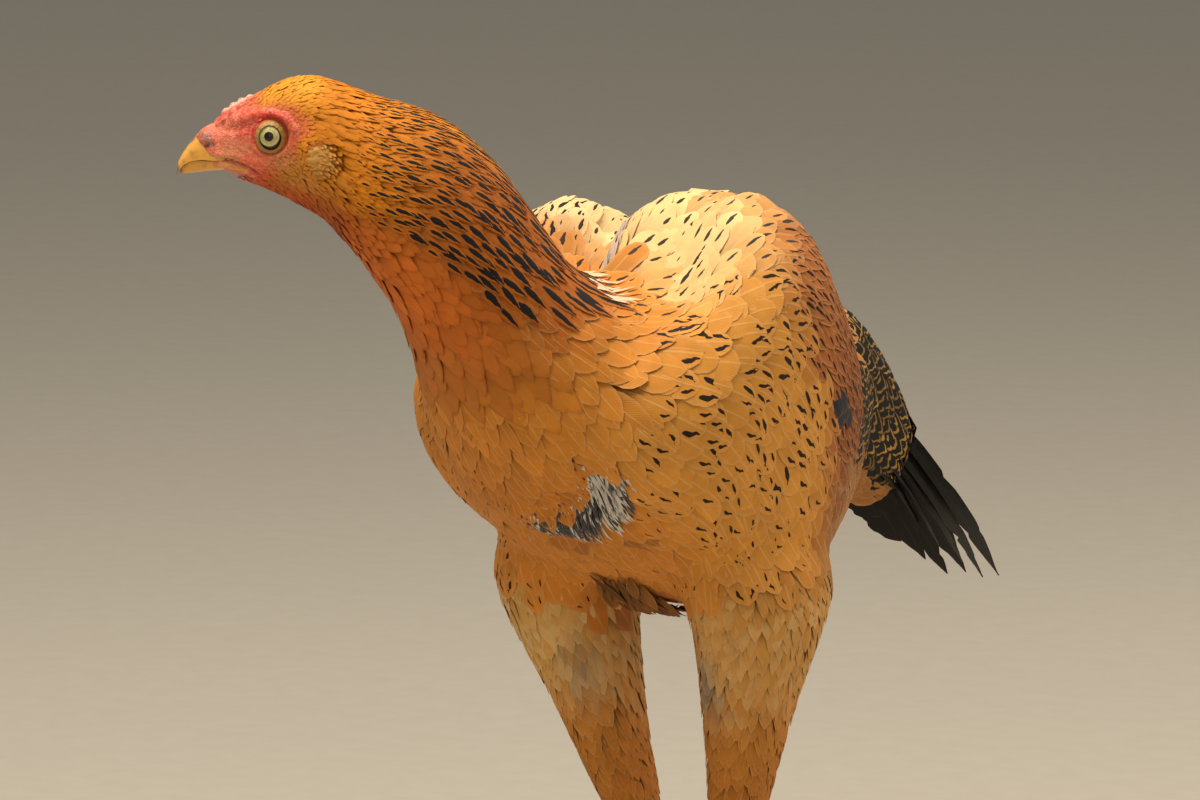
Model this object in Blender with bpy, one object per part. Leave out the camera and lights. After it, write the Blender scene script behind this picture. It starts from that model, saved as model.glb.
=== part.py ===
"""A life-size game hen, standing still with her neck stretched forward and her head turned to her right.

Metres, +Z up. She faces -Y, and her left side is towards +X. The sizes below are in millimetres, measured
from the floor between her feet. The last step moves the origin to the floor under the middle of the bird.
"""

import math
from typing import NamedTuple

import bmesh
import bpy
from mathutils import Vector

GAP = 0.3  # clear space between two neighbouring solids
WING_GAP = 1.5  # the inner side of a wing is faceted, and bridges the facets of the flank
PLUMAGE_GAP = 0.5  # between a thigh and the belly that it is cut by

LEFT = 1
RIGHT = -1
SIDE_NAMES = {LEFT: "left", RIGHT: "right"}


class Section(NamedTuple):
    """One cross-section of the body: its centre, the way it faces and its reach from the centre."""

    x: float
    y: float
    z: float
    turn: float  # heading away from straight ahead, to her right, in degrees
    rise: float  # heading above the horizon, in degrees
    half: float  # half width
    up: float  # reach towards the back
    down: float  # reach towards the breast
    above: float  # shape of the upper half: 1 gives an ellipse, less gives square shoulders
    below: float  # the same for the lower half


# The head is built on the eye line. Its sections stand upright and face where the bill points.
HEAD_EYE = (-86.0, -154.0, 431.0)
HEAD_TURN = 58.0
HEAD_SHAPE = 0.92


def head_section(forward, top, bottom, half):
    """A section of the head, by how far it lies in front of the eyes and its edges against the eye line."""
    heading = math.radians(HEAD_TURN)
    middle = (top + bottom) / 2
    reach = (top - bottom) / 2
    x = HEAD_EYE[0] - forward * math.sin(heading)
    y = HEAD_EYE[1] - forward * math.cos(heading)
    return Section(x, y, HEAD_EYE[2] + middle, HEAD_TURN, 0.0, half, reach, reach, HEAD_SHAPE, HEAD_SHAPE)


# Behind the shoulders the spine bends a little to her right.
BEND_FROM = 30.0
BEND = -0.08


def bent(y):
    """How far aside the middle of the body lies, behind the shoulders."""
    return BEND * max(0.0, y - BEND_FROM)


# From the end of the tail coverts forward to the bill's root. A section's place in this list is its station.
BODY = (
    Section(bent(220), 220, 259, -5, 44, 15, 24, 28, 0.9, 0.9),
    Section(bent(192), 192, 279, -5, 40, 18, 33, 38, 0.95, 0.95),
    Section(bent(150), 150, 298, -5, 30, 26, 41, 50, 1.0, 0.9),
    Section(bent(94), 94, 297, -4, 24, 42, 60, 71, 1.1, 0.75),
    Section(0, 32, 304, -1, 18, 64, 78, 82, 0.95, 0.7),
    Section(0, -22, 333, 0, 22, 70, 62, 84, 0.8, 0.64),
    Section(-4, -60, 338, 5, 38, 61, 40, 60, 0.9, 0.8),
    Section(-13, -93, 355, 11, 52, 42, 35, 38, 0.95, 0.95),
    Section(-18, -112, 376, 16, 56, 33, 37, 33, 1.0, 1.0),
    Section(-26, -125, 396, 26, 50, 30, 37, 32, 1.0, 1.0),
    Section(-38, -134, 411, 40, 34, 28, 35, 30, 1.0, 1.0),
    Section(-53, -140, 419, 51, 15, 25, 31, 28, 1.0, 1.0),
    head_section(-24.0, 24.6, -34.0, 22.0),
    head_section(-16.0, 26.0, -29.5, 20.5),
    head_section(-8.0, 24.6, -25.0, 18.4),
    head_section(0.0, 21.0, -21.0, 16.4),
    head_section(8.0, 15.2, -17.8, 13.4),
    head_section(15.0, 9.8, -15.8, 10.2),
    head_section(21.0, 5.4, -15.2, 7.6),
)
COVERT_END = 0
TAIL_JOIN = 1.5
NECK_JOIN = 7.0
HEAD_JOIN = 11.6
BILL_JOIN = len(BODY) - 1

TRUNK_SIDES = 26
NECK_SIDES = 22


class Span(NamedTuple):
    """One chord of a patch that lies on the body."""

    station: float  # station of the body that it lies on
    upper: float  # angle of its upper edge round the body, in degrees above her side
    lower: float
    thick: float  # how much thicker it is at its crest than at its edges
    crest: float = 0.5  # where the crest runs, from 0 at the lower edge to 1 at the upper


# The folded wing, from the wrist back to the tips.
WING = (
    Span(6.40, 16, -16, 4, 0.5),
    Span(6.05, 44, -42, 10, 0.5),
    Span(5.50, 69, -50, 14, 0.62),
    Span(4.90, 76, -49, 19, 0.8),
    Span(4.25, 67, -48, 11, 0.64),
    Span(3.55, 48, -46, 9, 0.32),
    Span(2.90, 28, -43, 9, 0.3),
    Span(2.35, 10, -36, 7, 0.35),
    Span(1.90, -4, -24, 3, 0.5),
)
WING_HOLD = {LEFT: 1.0, RIGHT: 0.6}  # the right wing is held tighter
WING_RIM = 1.6  # thickness at the wing's free edge
ROOM_DEPTH = 3.0  # how far the space kept for a wing reaches into the flank
ROOM_MARGIN = 0.9  # and how much wider than the wing it is at either edge, in degrees
WING_CHORDS = 16
WING_ACROSS = 9


class LegRing(NamedTuple):
    """One level cross-section of a leg. Its x is out to the side of the body."""

    x: float
    y: float
    z: float
    half: float  # half width across
    front: float
    back: float


THIGH = (
    LegRing(41, 5, 274, 19, 36, 40),
    LegRing(44.5, 7, 254, 24, 42, 46),
    LegRing(46.5, 9, 234, 25.5, 43, 48),
    LegRing(45, 12, 214, 23, 36, 39),
    LegRing(39, 17, 190, 19, 29, 29),
    LegRing(33, 22, 163, 14.5, 23, 23),
    LegRing(27, 27, 139, 11.5, 18.5, 18.5),
    LegRing(23, 31, 121, 8.6, 11.5, 12),
)
SHANK = (
    LegRing(22.6, 31.4, 119.6, 7.2, 8.2, 8.8),
    LegRing(21.8, 32, 112, 8.4, 9.2, 10),
    LegRing(22.4, 31, 104, 7.8, 8.2, 9),
    LegRing(25, 27.5, 90, 5.9, 6.8, 7.4),
    LegRing(29, 22, 62, 5.5, 6.6, 7.0),
    LegRing(32.8, 17, 34, 5.8, 7.0, 7.4),
    LegRing(34.6, 14.6, 20, 7.0, 8.0, 8.2),
)
FOOT = (35.5, 12.5)  # middle of the sole
SOLE_TOP = 9.0
SOLE_BACK = 7.4
SOLE_FRONT = 14.2


class Toe(NamedTuple):
    """One toe: its heading out from straight ahead, its length without the claw, and its thickness."""

    name: str
    heading: float
    start: float  # distance of its root from the middle of the sole
    length: float
    root: float
    tip: float
    claw: float


TOES = (
    Toe("inner", -31, 15.4, 32, 4.5, 3.5, 11),
    Toe("middle", 7, 15.4, 47, 4.8, 3.7, 13),
    Toe("outer", 45, 15.4, 35, 4.4, 3.4, 10.5),
    Toe("hind", 172, 8.6, 14, 4.2, 3.3, 10),
)

class TailFeather(NamedTuple):
    """One tail feather of a pair, from its root at the end of the coverts to its tip."""

    up: float  # of its root above the middle of the coverts' end
    tip_y: float
    tip_z: float
    out: float  # from the middle of the tail
    lean: float  # how far it leans outward, in degrees


TAIL = (
    TailFeather(16, 331, 190, 8.6, 14),
    TailFeather(8, 314, 188, 9.2, 23),
    TailFeather(0, 290, 195, 9.6, 32),
    TailFeather(-8, 260, 211, 9.8, 41),
    TailFeather(-16, 235, 228, 9.8, 50),
)
TAIL_SETBACK = 1.0  # of the feathers' roots from the end of the coverts
TAIL_HALF_WIDTH = 8.2
TAIL_THICK = 1.0

EYEBALL = 6.8
EYE_OUT = 11.8  # of the eyeball's centre from the middle of the head
EYE_FORWARD = -1.8
EYE_RISE = 2.5

MOUTH_LINE = -8.5  # against the eye line


def mm(*values):
    """A point in metres from millimetres."""
    return Vector([value * 0.001 for value in values])


def clear_scene():
    for obj in list(bpy.data.objects):
        bpy.data.objects.remove(obj)


def finish_of(name, colour, roughness, metallic=0.0):
    """A Principled material, made once for each name."""
    found = bpy.data.materials.get(name)
    if found:
        return found
    made = bpy.data.materials.new(name)
    made.use_nodes = True
    shader = made.node_tree.nodes["Principled BSDF"]
    shader.inputs["Base Color"].default_value = (*colour, 1.0)
    shader.inputs["Roughness"].default_value = roughness
    shader.inputs["Metallic"].default_value = metallic
    return made


def plumage():
    return finish_of("plumage", (0.62, 0.27, 0.05), 0.75)


def bare_skin():
    return finish_of("bare_skin", (0.62, 0.13, 0.09), 0.55)


def horn():
    return finish_of("horn", (0.62, 0.40, 0.10), 0.4)


def leg_scales():
    return finish_of("leg_scales", (0.66, 0.45, 0.12), 0.5)


def tail_black():
    return finish_of("tail_black", (0.02, 0.02, 0.02), 0.45)


def eye_gloss():
    return finish_of("eye_gloss", (0.60, 0.52, 0.25), 0.1)


def mesh_object(name, points, faces, material):
    """A named object from points in metres, with its normals facing out."""
    mesh = bpy.data.meshes.new(name)
    mesh.from_pydata([tuple(point) for point in points], [], faces)
    work = bmesh.new()
    work.from_mesh(mesh)
    bmesh.ops.remove_doubles(work, verts=work.verts, dist=1e-6)
    bmesh.ops.recalc_face_normals(work, faces=work.faces)
    work.to_mesh(mesh)
    work.free()
    mesh.shade_smooth()
    mesh.set_sharp_from_angle(angle=math.radians(40))
    mesh.materials.append(material)
    made = bpy.data.objects.new(name, mesh)
    bpy.context.scene.collection.objects.link(made)
    return made


def between(rows, at):
    """The row at a station between the listed ones, on a smooth curve through them all."""
    last = len(rows) - 1
    at = min(max(at, 0.0), float(last))
    index = min(int(at), last - 1)
    share = at - index
    before, start = rows[max(index - 1, 0)], rows[index]
    end, after = rows[index + 1], rows[min(index + 2, last)]
    values = []
    for a, b, c, d in zip(before, start, end, after):
        bend = (2 * a - 5 * b + 4 * c - d) * share**2 + (3 * b - a - 3 * c + d) * share**3
        values.append(b + 0.5 * ((c - a) * share + bend))
    return type(start)(*values)


def body_axes(section):
    """Heading, left and dorsal directions of a body section."""
    turn, rise = math.radians(section.turn), math.radians(section.rise)
    level = math.cos(rise)
    heading = Vector((-math.sin(turn) * level, -math.cos(turn) * level, math.sin(rise)))
    left = Vector((math.cos(turn), -math.sin(turn), 0.0))
    return heading, left, heading.cross(left)


def squared(value, power):
    return math.copysign(abs(value) ** power, value)


def body_point(station, angle, swell=0.0):
    """The point of the body's surface at a station and at an angle round it, with 90 degrees on the back."""
    section = between(BODY, station)
    _, left, dorsal = body_axes(section)
    turn = math.radians(angle)
    reach, shape = (section.up, section.above) if math.sin(turn) >= 0 else (section.down, section.below)
    across = squared(math.cos(turn), shape) * (section.half + swell)
    height = squared(math.sin(turn), shape) * (reach + swell)
    return mm(section.x, section.y, section.z) + (left * across + dorsal * height) * 0.001


def body_normal(station, angle):
    """The direction straight out of the body's surface."""
    small_step, small_turn = 0.05, 2.0
    along = body_point(station + small_step, angle) - body_point(station - small_step, angle)
    around = body_point(station, angle + small_turn) - body_point(station, angle - small_turn)
    return around.cross(along).normalized()


def tube_faces(rings, sides):
    """Faces of a closed tube made of rings, capped at both ends."""
    faces = [tuple(reversed(range(sides)))]
    for ring in range(rings - 1):
        for side in range(sides):
            near, far = ring * sides, (ring + 1) * sides
            following = (side + 1) % sides
            faces.append((near + side, near + following, far + following, far + side))
    faces.append(tuple(range((rings - 1) * sides, rings * sides)))
    return faces


def body_length(name, start, end, rings, sides, material, swell=0.0):
    """A length of the body between two stations, with flat ends."""
    points = []
    for ring in range(rings):
        station = start + (end - start) * ring / (rings - 1)
        points += [body_point(station, 360 * side / sides, swell) for side in range(sides)]
    return mesh_object(name, points, tube_faces(rings, sides), material)


def station_gap(station):
    """How far along the body, in stations, one gap of clear space is."""
    step = 0.05
    ahead = body_point(station + step, 0) - body_point(station - step, 0)
    return GAP * 0.001 * 2 * step / max(ahead.length, 1e-6)


def hide(obj):
    obj.hide_render = True
    obj.display_type = "WIRE"


def cut_away(obj, cutter):
    """Takes the cutter's space out of the object."""
    hide(cutter)
    cut = obj.modifiers.new("cut_" + cutter.name, "BOOLEAN")
    cut.operation = "DIFFERENCE"
    cut.solver = "EXACT"
    cut.object = cutter


def build_body():
    """Trunk, rump with its tail coverts, neck and head, parted by thin level cuts across the body."""
    tail_gap, neck_gap, head_gap = map(station_gap, (TAIL_JOIN, NECK_JOIN, HEAD_JOIN))
    body_length("tail_coverts", COVERT_END, TAIL_JOIN - tail_gap, 7, NECK_SIDES, tail_black())
    body_length("trunk", TAIL_JOIN + tail_gap, NECK_JOIN - neck_gap, 26, TRUNK_SIDES, plumage())
    body_length("neck", NECK_JOIN + neck_gap, HEAD_JOIN - head_gap, 15, NECK_SIDES, plumage())
    return body_length("head", HEAD_JOIN + head_gap, BILL_JOIN, 17, NECK_SIDES, bare_skin())


def patch_solid(name, rows, material):
    """A closed thin solid from rows of (inner, outer) point pairs that meet round its rim."""
    tall, wide = len(rows), len(rows[0])
    points = [pair[0] for row in rows for pair in row] + [pair[1] for row in rows for pair in row]
    outer = tall * wide
    faces = []
    for row in range(tall - 1):
        for column in range(wide - 1):
            corner = row * wide + column
            quad = (corner, corner + 1, corner + wide + 1, corner + wide)
            faces.append(quad)
            faces.append(tuple(outer + index for index in reversed(quad)))
    rim = [column for column in range(wide)]
    rim += [row * wide + wide - 1 for row in range(1, tall)]
    rim += [(tall - 1) * wide + column for column in range(wide - 2, -1, -1)]
    rim += [row * wide for row in range(tall - 2, 0, -1)]
    for index, point in enumerate(rim):
        following = rim[(index + 1) % len(rim)]
        faces.append((point, outer + point, outer + following, following))
    return mesh_object(name, points, faces, material)


def body_patch(name, side, spans, rows, columns, gap, rim, material, margin=0.0, hold=1.0):
    """A solid that lies on the body's surface. Each span gives its station, edges and thickness.

    The margin widens it by so many degrees at either edge, and the hold is its share of the full thickness.
    """
    grid = []
    for row in range(rows + 1):
        span = between(spans, (len(spans) - 1) * row / rows)
        line = []
        for column in range(columns + 1):
            across = column / columns
            angle = span.lower - margin + (span.upper - span.lower + 2 * margin) * across
            if side == RIGHT:
                angle = 180 - angle
            swell = math.sin(math.pi * across ** (math.log(0.5) / math.log(span.crest)))
            swell = max(swell, 0.0) ** 0.55 * hold
            end = min(row, rows - row) / rows
            swell *= min(1.0, end * 5) ** 0.5
            out = body_normal(span.station, angle)
            foot = body_point(span.station, angle)
            thick = rim + span.thick * swell
            line.append((foot + out * gap * 0.001, foot + out * (gap + thick) * 0.001))
        grid.append(line)
    return patch_solid(name, grid, material)


def wing_patch(name, side, gap, rim, margin=0.0):
    hold = WING_HOLD[side]
    return body_patch(name, side, WING, WING_CHORDS, WING_ACROSS, gap, rim, plumage(), margin, hold)


def build_wings():
    for side, word in SIDE_NAMES.items():
        wing_patch(f"wing_{word}", side, WING_GAP, WING_RIM)


def wing_room(side, word):
    """The wing and a little clear space round it, down into the flank."""
    rim = WING_RIM + WING_GAP + ROOM_DEPTH + PLUMAGE_GAP
    return wing_patch(f"wing_room_{word}", side, -ROOM_DEPTH, rim, ROOM_MARGIN)


def leg_rings(rows, side, count, sides, swell=0.0):
    """Points of level rings down a leg."""
    points = []
    for ring in range(count):
        row = between(rows, (len(rows) - 1) * ring / (count - 1))
        for step in range(sides):
            turn = 2 * math.pi * step / sides
            reach = row.front if math.sin(turn) < 0 else row.back
            x = row.x + math.cos(turn) * (row.half + swell)
            y = row.y + math.sin(turn) * (reach + swell)
            points.append(mm(side * x, y, row.z))
    return points


def build_thighs():
    """The feathered thigh and drumstick of each leg, shaped to the belly and the wing above it."""
    rings, sides = 13, 16
    cutter = body_length("belly_cutter", 1.6, 6.9, 26, TRUNK_SIDES, plumage(), PLUMAGE_GAP)
    for side, word in SIDE_NAMES.items():
        points = leg_rings(THIGH, side, rings, sides)
        thigh = mesh_object(f"thigh_{word}", points, tube_faces(rings, sides), plumage())
        cut_away(thigh, cutter)
        cut_away(thigh, wing_room(side, word))


def sole_reach(angle):
    """How far the sole reaches at an angle from straight ahead: it spreads forward under the front toes."""
    spread = max(0.0, math.cos(angle * 0.8)) ** 0.6
    past_toes = max(0.0, abs(angle) - math.radians(80))
    return SOLE_BACK + (SOLE_FRONT - SOLE_BACK) * spread * max(0.0, 1 - past_toes * 1.6)


def build_shanks():
    """Each bare shank, from the hock down to the pad that the toes grow from."""
    rings, sides = 11, 12
    for side, word in SIDE_NAMES.items():
        points = leg_rings(SHANK, side, rings, sides)
        for height, share in ((SOLE_TOP, 0.9), (4.5, 1.0), (1.2, 0.97), (0.0, 0.86)):
            for step in range(sides):
                turn = 2 * math.pi * step / sides
                ahead = math.atan2(math.cos(turn), -math.sin(turn))
                reach = sole_reach(ahead) * share
                x = FOOT[0] + math.cos(turn) * reach
                points.append(mm(side * x, FOOT[1] + math.sin(turn) * reach, height))
        mesh_object(f"shank_{word}", points, tube_faces(rings + 4, sides), leg_scales())


def upright_rings(path, radii, ahead, sides):
    """Upright rings round a path of points in millimetres. What would dip below the floor lies flat on it."""
    across = ahead.cross(Vector((0, 0, 1)))
    points = []
    for centre, radius in zip(path, radii):
        for step in range(sides):
            turn = 2 * math.pi * step / sides
            point = centre + across * math.cos(turn) * radius
            point.z = max(point.z + math.sin(turn) * radius, 0.0)
            points.append(point * 0.001)
    return points


def build_toe(toe, side, word):
    """One toe with pads under its joints, and the claw that grows out of its end."""
    rings, sides = 8, 8
    heading = math.radians(toe.heading)
    ahead = Vector((side * math.sin(heading), -math.cos(heading), 0.0))
    sole = Vector((side * FOOT[0], FOOT[1], 0.0))
    path, radii = [], []
    for ring in range(rings):
        share = ring / (rings - 1)
        thickness = toe.root + (toe.tip - toe.root) * share
        thickness *= 1 + 0.07 * math.cos(share * 3 * 2 * math.pi)
        if ring == rings - 1:
            thickness *= 0.72
        path.append(sole + ahead * (toe.start + toe.length * share) + Vector((0, 0, thickness * 0.86)))
        radii.append(thickness)
    toe_name = f"toe_{word}_{toe.name}"
    points = upright_rings(path, radii, ahead, sides)
    mesh_object(toe_name, points, tube_faces(rings, sides), leg_scales())

    rings, sides = 5, 6
    root = path[-1] + ahead * GAP
    claw_path, claw_radii = [], []
    for ring in range(rings):
        share = ring / (rings - 1)
        drop = (root.z - 0.9) * share**1.6
        arch = 1.1 * math.sin(math.pi * share)
        claw_path.append(root + ahead * toe.claw * share + Vector((0, 0, arch - drop)))
        claw_radii.append(radii[-1] * 0.78 * (1 - share) ** 0.8 + 0.35)
    points = upright_rings(claw_path, claw_radii, ahead, sides)
    mesh_object(f"claw_{word}_{toe.name}", points, tube_faces(rings, sides), horn())


def build_feet():
    for side, word in SIDE_NAMES.items():
        for toe in TOES:
            build_toe(toe, side, word)


def blade_half_width(share):
    """Half width of a tail feather along its length, as a share of its widest: blunt, with a short point."""
    root = min(1.0, 0.42 + share * 2.2)
    end = max(0.0, (share - 0.72) / 0.28)
    return root * (1 - end**2.2) + 0.05


def tail_blade(name, root, tip, lean, side):
    """One flat tail feather from its root to its tip."""
    steps = 9
    along = (tip - root).normalized()
    level = Vector((side, 0, 0))
    level = (level - along * level.dot(along)).normalized()
    above = along.cross(level) * -side
    turn = math.radians(lean)
    wide = level * math.cos(turn) - above * math.sin(turn)
    out = above * math.cos(turn) + level * math.sin(turn)
    points = []
    for step in range(steps):
        share = step / (steps - 1)
        centre = root + (tip - root) * share + out * 3.0 * math.sin(math.pi * share)
        half = TAIL_HALF_WIDTH * blade_half_width(share)
        thick = TAIL_THICK * (1 - 0.4 * share) / 2
        for across, height in ((-1, -1), (1, -1), (1, 1), (-1, 1)):
            points.append((centre + wide * half * across + out * thick * height) * 0.001)
    return mesh_object(name, points, tube_faces(steps, 4), tail_black())


def build_tail():
    """The tail feathers, folded like a low roof: the central pair is highest and longest."""
    end = BODY[COVERT_END]
    heading, left, dorsal = body_axes(end)
    middle = Vector((end.x, end.y, end.z)) - heading * TAIL_SETBACK
    for side, word in SIDE_NAMES.items():
        for pair, feather in enumerate(TAIL, 1):
            root = middle + dorsal * feather.up + left * feather.out * side
            tip = Vector((bent(feather.tip_y) + feather.out * side, feather.tip_y, feather.tip_z))
            tail_blade(f"tail_feather_{word}_{pair}", root, tip, feather.lean, side)


def head_place(forward, out, height):
    """A point of the head in metres: so far in front of the eyes, out to her left and above the eye line."""
    heading = math.radians(HEAD_TURN)
    ahead = Vector((-math.sin(heading), -math.cos(heading), 0.0))
    left = Vector((math.cos(heading), -math.sin(heading), 0.0))
    return (Vector(HEAD_EYE) + ahead * forward + left * out + Vector((0, 0, height))) * 0.001


def eyeball(name, side, radius):
    """A round eyeball, deep in the head, with only its front showing."""
    work = bmesh.new()
    bmesh.ops.create_uvsphere(work, u_segments=14, v_segments=8, radius=radius * 0.001)
    centre = head_place(EYE_FORWARD, side * EYE_OUT, EYE_RISE)
    bmesh.ops.translate(work, verts=work.verts, vec=centre)
    points = [vertex.co.copy() for vertex in work.verts]
    faces = [tuple(vertex.index for vertex in face.verts) for face in work.faces]
    work.free()
    return mesh_object(name, points, faces, eye_gloss())


def build_eyes(head):
    for side, word in SIDE_NAMES.items():
        eyeball(f"eye_{word}", side, EYEBALL)
        cut_away(head, eyeball(f"socket_{word}", side, EYEBALL + GAP + 0.2))


class BillRing(NamedTuple):
    """One section of the bill: its outer edge against the eye line, and its half width at the mouth."""

    forward: float
    edge: float
    half: float
    mouth: float


UPPER_BILL = (
    BillRing(21.4, 5.6, 7.3, MOUTH_LINE),
    BillRing(25.0, 4.0, 6.5, MOUTH_LINE),
    BillRing(29.0, 0.4, 5.4, MOUTH_LINE - 0.2),
    BillRing(33.0, -3.8, 4.2, MOUTH_LINE - 1.4),
    BillRing(36.4, -8.2, 2.9, MOUTH_LINE - 3.8),
    BillRing(38.1, -13.2, 1.2, MOUTH_LINE - 7.0),
)
LOWER_BILL = (
    BillRing(21.4, -15.0, 6.9, MOUTH_LINE - GAP),
    BillRing(25.0, -15.6, 6.0, MOUTH_LINE - GAP),
    BillRing(29.0, -15.9, 4.8, MOUTH_LINE - GAP - 0.3),
    BillRing(32.4, -15.9, 3.5, MOUTH_LINE - GAP - 1.5),
    BillRing(35.2, -15.6, 2.0, MOUTH_LINE - GAP - 3.9),
)


def bill_half(name, rows, count):
    """The upper or the lower bill: half round outside, flat where the two meet."""
    around = 9
    points = []
    for ring in range(count):
        row = between(rows, (len(rows) - 1) * ring / (count - 1))
        for step in range(around):
            turn = math.pi * step / (around - 1)
            height = row.mouth + (row.edge - row.mouth) * math.sin(turn) ** 0.85
            points.append(head_place(row.forward, row.half * math.cos(turn), height))
    return mesh_object(name, points, tube_faces(count, around), horn())


def build_bill():
    bill_half("bill_upper", UPPER_BILL, 9)
    bill_half("bill_lower", LOWER_BILL, 7)


COMB_SPANS = (
    Span(BILL_JOIN - 0.2, 112, 68, 0.9),
    Span(BILL_JOIN - 0.65, 114, 66, 1.9),
    Span(BILL_JOIN - 1.2, 112, 68, 2.2),
    Span(BILL_JOIN - 1.8, 106, 74, 1.6),
    Span(BILL_JOIN - 2.3, 99, 81, 0.6),
)
EAR_SPANS = (
    Span(13.40, 0, -16, 1.2),
    Span(13.05, 10, -30, 2.2),
    Span(12.60, 10, -36, 2.4),
    Span(12.15, 4, -33, 2.0),
    Span(11.80, -6, -22, 1.0),
)
FACE_GAP = 0.5
FACE_RIM = 0.7


def build_comb_and_ears():
    """The low pea comb over the bill's root, and the small feathered lobe over each ear."""
    body_patch("comb", LEFT, COMB_SPANS, 8, 6, FACE_GAP, FACE_RIM, bare_skin())
    for side, word in SIDE_NAMES.items():
        body_patch(f"ear_{word}", side, EAR_SPANS, 7, 5, FACE_GAP, FACE_RIM, plumage())


def stand_on_origin():
    """Moves everything so that the origin is on the floor, under the middle of the whole bird."""
    solids = [obj for obj in bpy.data.objects if not obj.hide_render]
    corners = [Vector(corner) for obj in solids for corner in obj.bound_box]
    xs, ys, zs = zip(*corners)
    middle = Vector(((min(xs) + max(xs)) / 2, (min(ys) + max(ys)) / 2, min(zs)))
    for obj in bpy.data.objects:
        obj.location = -middle


def main():
    clear_scene()
    head = build_body()
    build_eyes(head)
    build_bill()
    build_comb_and_ears()
    build_wings()
    build_thighs()
    build_shanks()
    build_feet()
    build_tail()
    stand_on_origin()


main()
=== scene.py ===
"""A standing game hen at life size: one skin, a coat of solid feathers, horn, eyes and claws.

All places are worked out in millimetres in the bird's own frame: the floor between her feet is the
origin, she faces -Y and her left side is +X. Finished meshes are written in metres in the row frame.
"""

import logging
import math
from collections.abc import Callable, Iterator
from contextlib import contextmanager
from dataclasses import dataclass, field, replace
from enum import Enum
from functools import partial

import bmesh
import bpy
import numpy as np
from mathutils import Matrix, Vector
from mathutils.bvhtree import BVHTree
from mathutils.kdtree import KDTree


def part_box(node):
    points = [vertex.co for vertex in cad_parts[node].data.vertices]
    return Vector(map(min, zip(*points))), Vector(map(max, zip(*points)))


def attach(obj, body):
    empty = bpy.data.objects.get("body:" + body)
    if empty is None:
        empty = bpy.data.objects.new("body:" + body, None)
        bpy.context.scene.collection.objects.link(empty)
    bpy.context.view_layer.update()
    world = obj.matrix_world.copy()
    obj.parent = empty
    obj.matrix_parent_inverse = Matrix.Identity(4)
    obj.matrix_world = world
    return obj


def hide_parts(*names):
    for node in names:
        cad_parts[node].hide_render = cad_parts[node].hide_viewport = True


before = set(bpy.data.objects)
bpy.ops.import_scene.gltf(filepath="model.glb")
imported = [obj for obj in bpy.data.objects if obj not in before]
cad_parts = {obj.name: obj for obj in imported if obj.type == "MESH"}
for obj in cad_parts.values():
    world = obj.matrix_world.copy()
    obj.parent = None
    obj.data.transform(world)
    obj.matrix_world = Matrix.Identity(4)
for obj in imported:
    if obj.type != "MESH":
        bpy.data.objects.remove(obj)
LOG = logging.getLogger("game_hen")
SEED = 41
SIDES = {"left": 1, "right": -1}
EYE_MID = (-84.47, -153.05, 433.5)  # midway between the eyeballs, in the bird's frame
HEAD_EYE = (-86.0, -154.0, 431.0)  # the origin of places on the head
HEAD_TURN = 58.0  # how far the head looks to her right, in degrees
WAVE = 6.2832  # one full wave, in radians
CELL = 0.0034  # side of the square of the bake map that one feather has to itself
CELLS = 293  # squares along a side of the map that may be used
PATCH = 0.003  # side of the feather's patch in its square
MARGIN = 0.0005  # what stays free along the edge of the map

Array = np.ndarray
Material = bpy.types.Material
Mesh = bpy.types.Mesh
Object = bpy.types.Object
Socket = bpy.types.NodeSocket
Line = tuple[tuple[float, float], ...]
Rows = tuple[tuple[float, ...], ...]


# ---- small helpers


def linear(hexa: str) -> tuple[float, float, float]:
    """Turns six hex digits of sRGB into linear red, green and blue."""
    parts = [int(hexa[i : i + 2], 16) / 255 for i in (0, 2, 4)]
    return tuple(c / 12.92 if c <= 0.04045 else ((c + 0.055) / 1.055) ** 2.4 for c in parts)


def ease(value: Array, low: float, high: float) -> Array:
    """A smooth step from 0 at low to 1 at high, which may lie below low."""
    share = np.clip((value - low) / (high - low), 0, 1)
    return share * share * (3 - 2 * share)


def unit(vectors: Array) -> Array:
    """Vectors of length one."""
    return vectors / np.maximum(np.linalg.norm(vectors, axis=-1, keepdims=True), 1e-9)


def level_with(vectors: Array, normals: Array) -> Array:
    """Vectors without their share along the normals."""
    return vectors - (vectors * normals).sum(-1, keepdims=True) * normals


def fill(count: int, colour: str) -> Array:
    """A colour repeated for a number of points."""
    return np.tile(np.array(linear(colour)), (count, 1))


def blend(ground: Array, colour: str, share: Array) -> Array:
    """Mixes a hex colour into an array of colours by a share for each point."""
    return ground + (np.array(linear(colour)) - ground) * np.clip(share, 0, 1)[:, None]


def catmull(rows: Array, at: Array) -> Array:
    """Reads rows between their places on a smooth curve through them all.

    Args:
        rows: table with one row of values for each whole place.
        at: places to read.

    Returns:
        One row of values for each place.
    """
    last = len(rows) - 1
    at = np.clip(at, 0, last)
    index = np.minimum(at.astype(int), last - 1)
    s = (at - index)[:, None]
    a, b = rows[np.maximum(index - 1, 0)], rows[index]
    c, d = rows[index + 1], rows[np.minimum(index + 2, last)]
    bend, twist = 2 * a - 5 * b + 4 * c - d, 3 * b - a - 3 * c + d
    return b + 0.5 * ((c - a) * s + bend * s**2 + twist * s**3)


def line_distance(points: Array, knots: Array) -> Array:
    """Measures how far points lie from a line.

    Args:
        points: the points.
        knots: the corners of the line.

    Returns:
        The distance of each point.
    """
    near = np.full(len(points), 1e9)
    for a, b in zip(knots[:-1], knots[1:]):
        share = np.clip(((points - a) @ (b - a)) / ((b - a) @ (b - a)), 0, 1)
        near = np.minimum(near, np.linalg.norm(points - a - share[:, None] * (b - a), axis=1))
    return near


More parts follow.
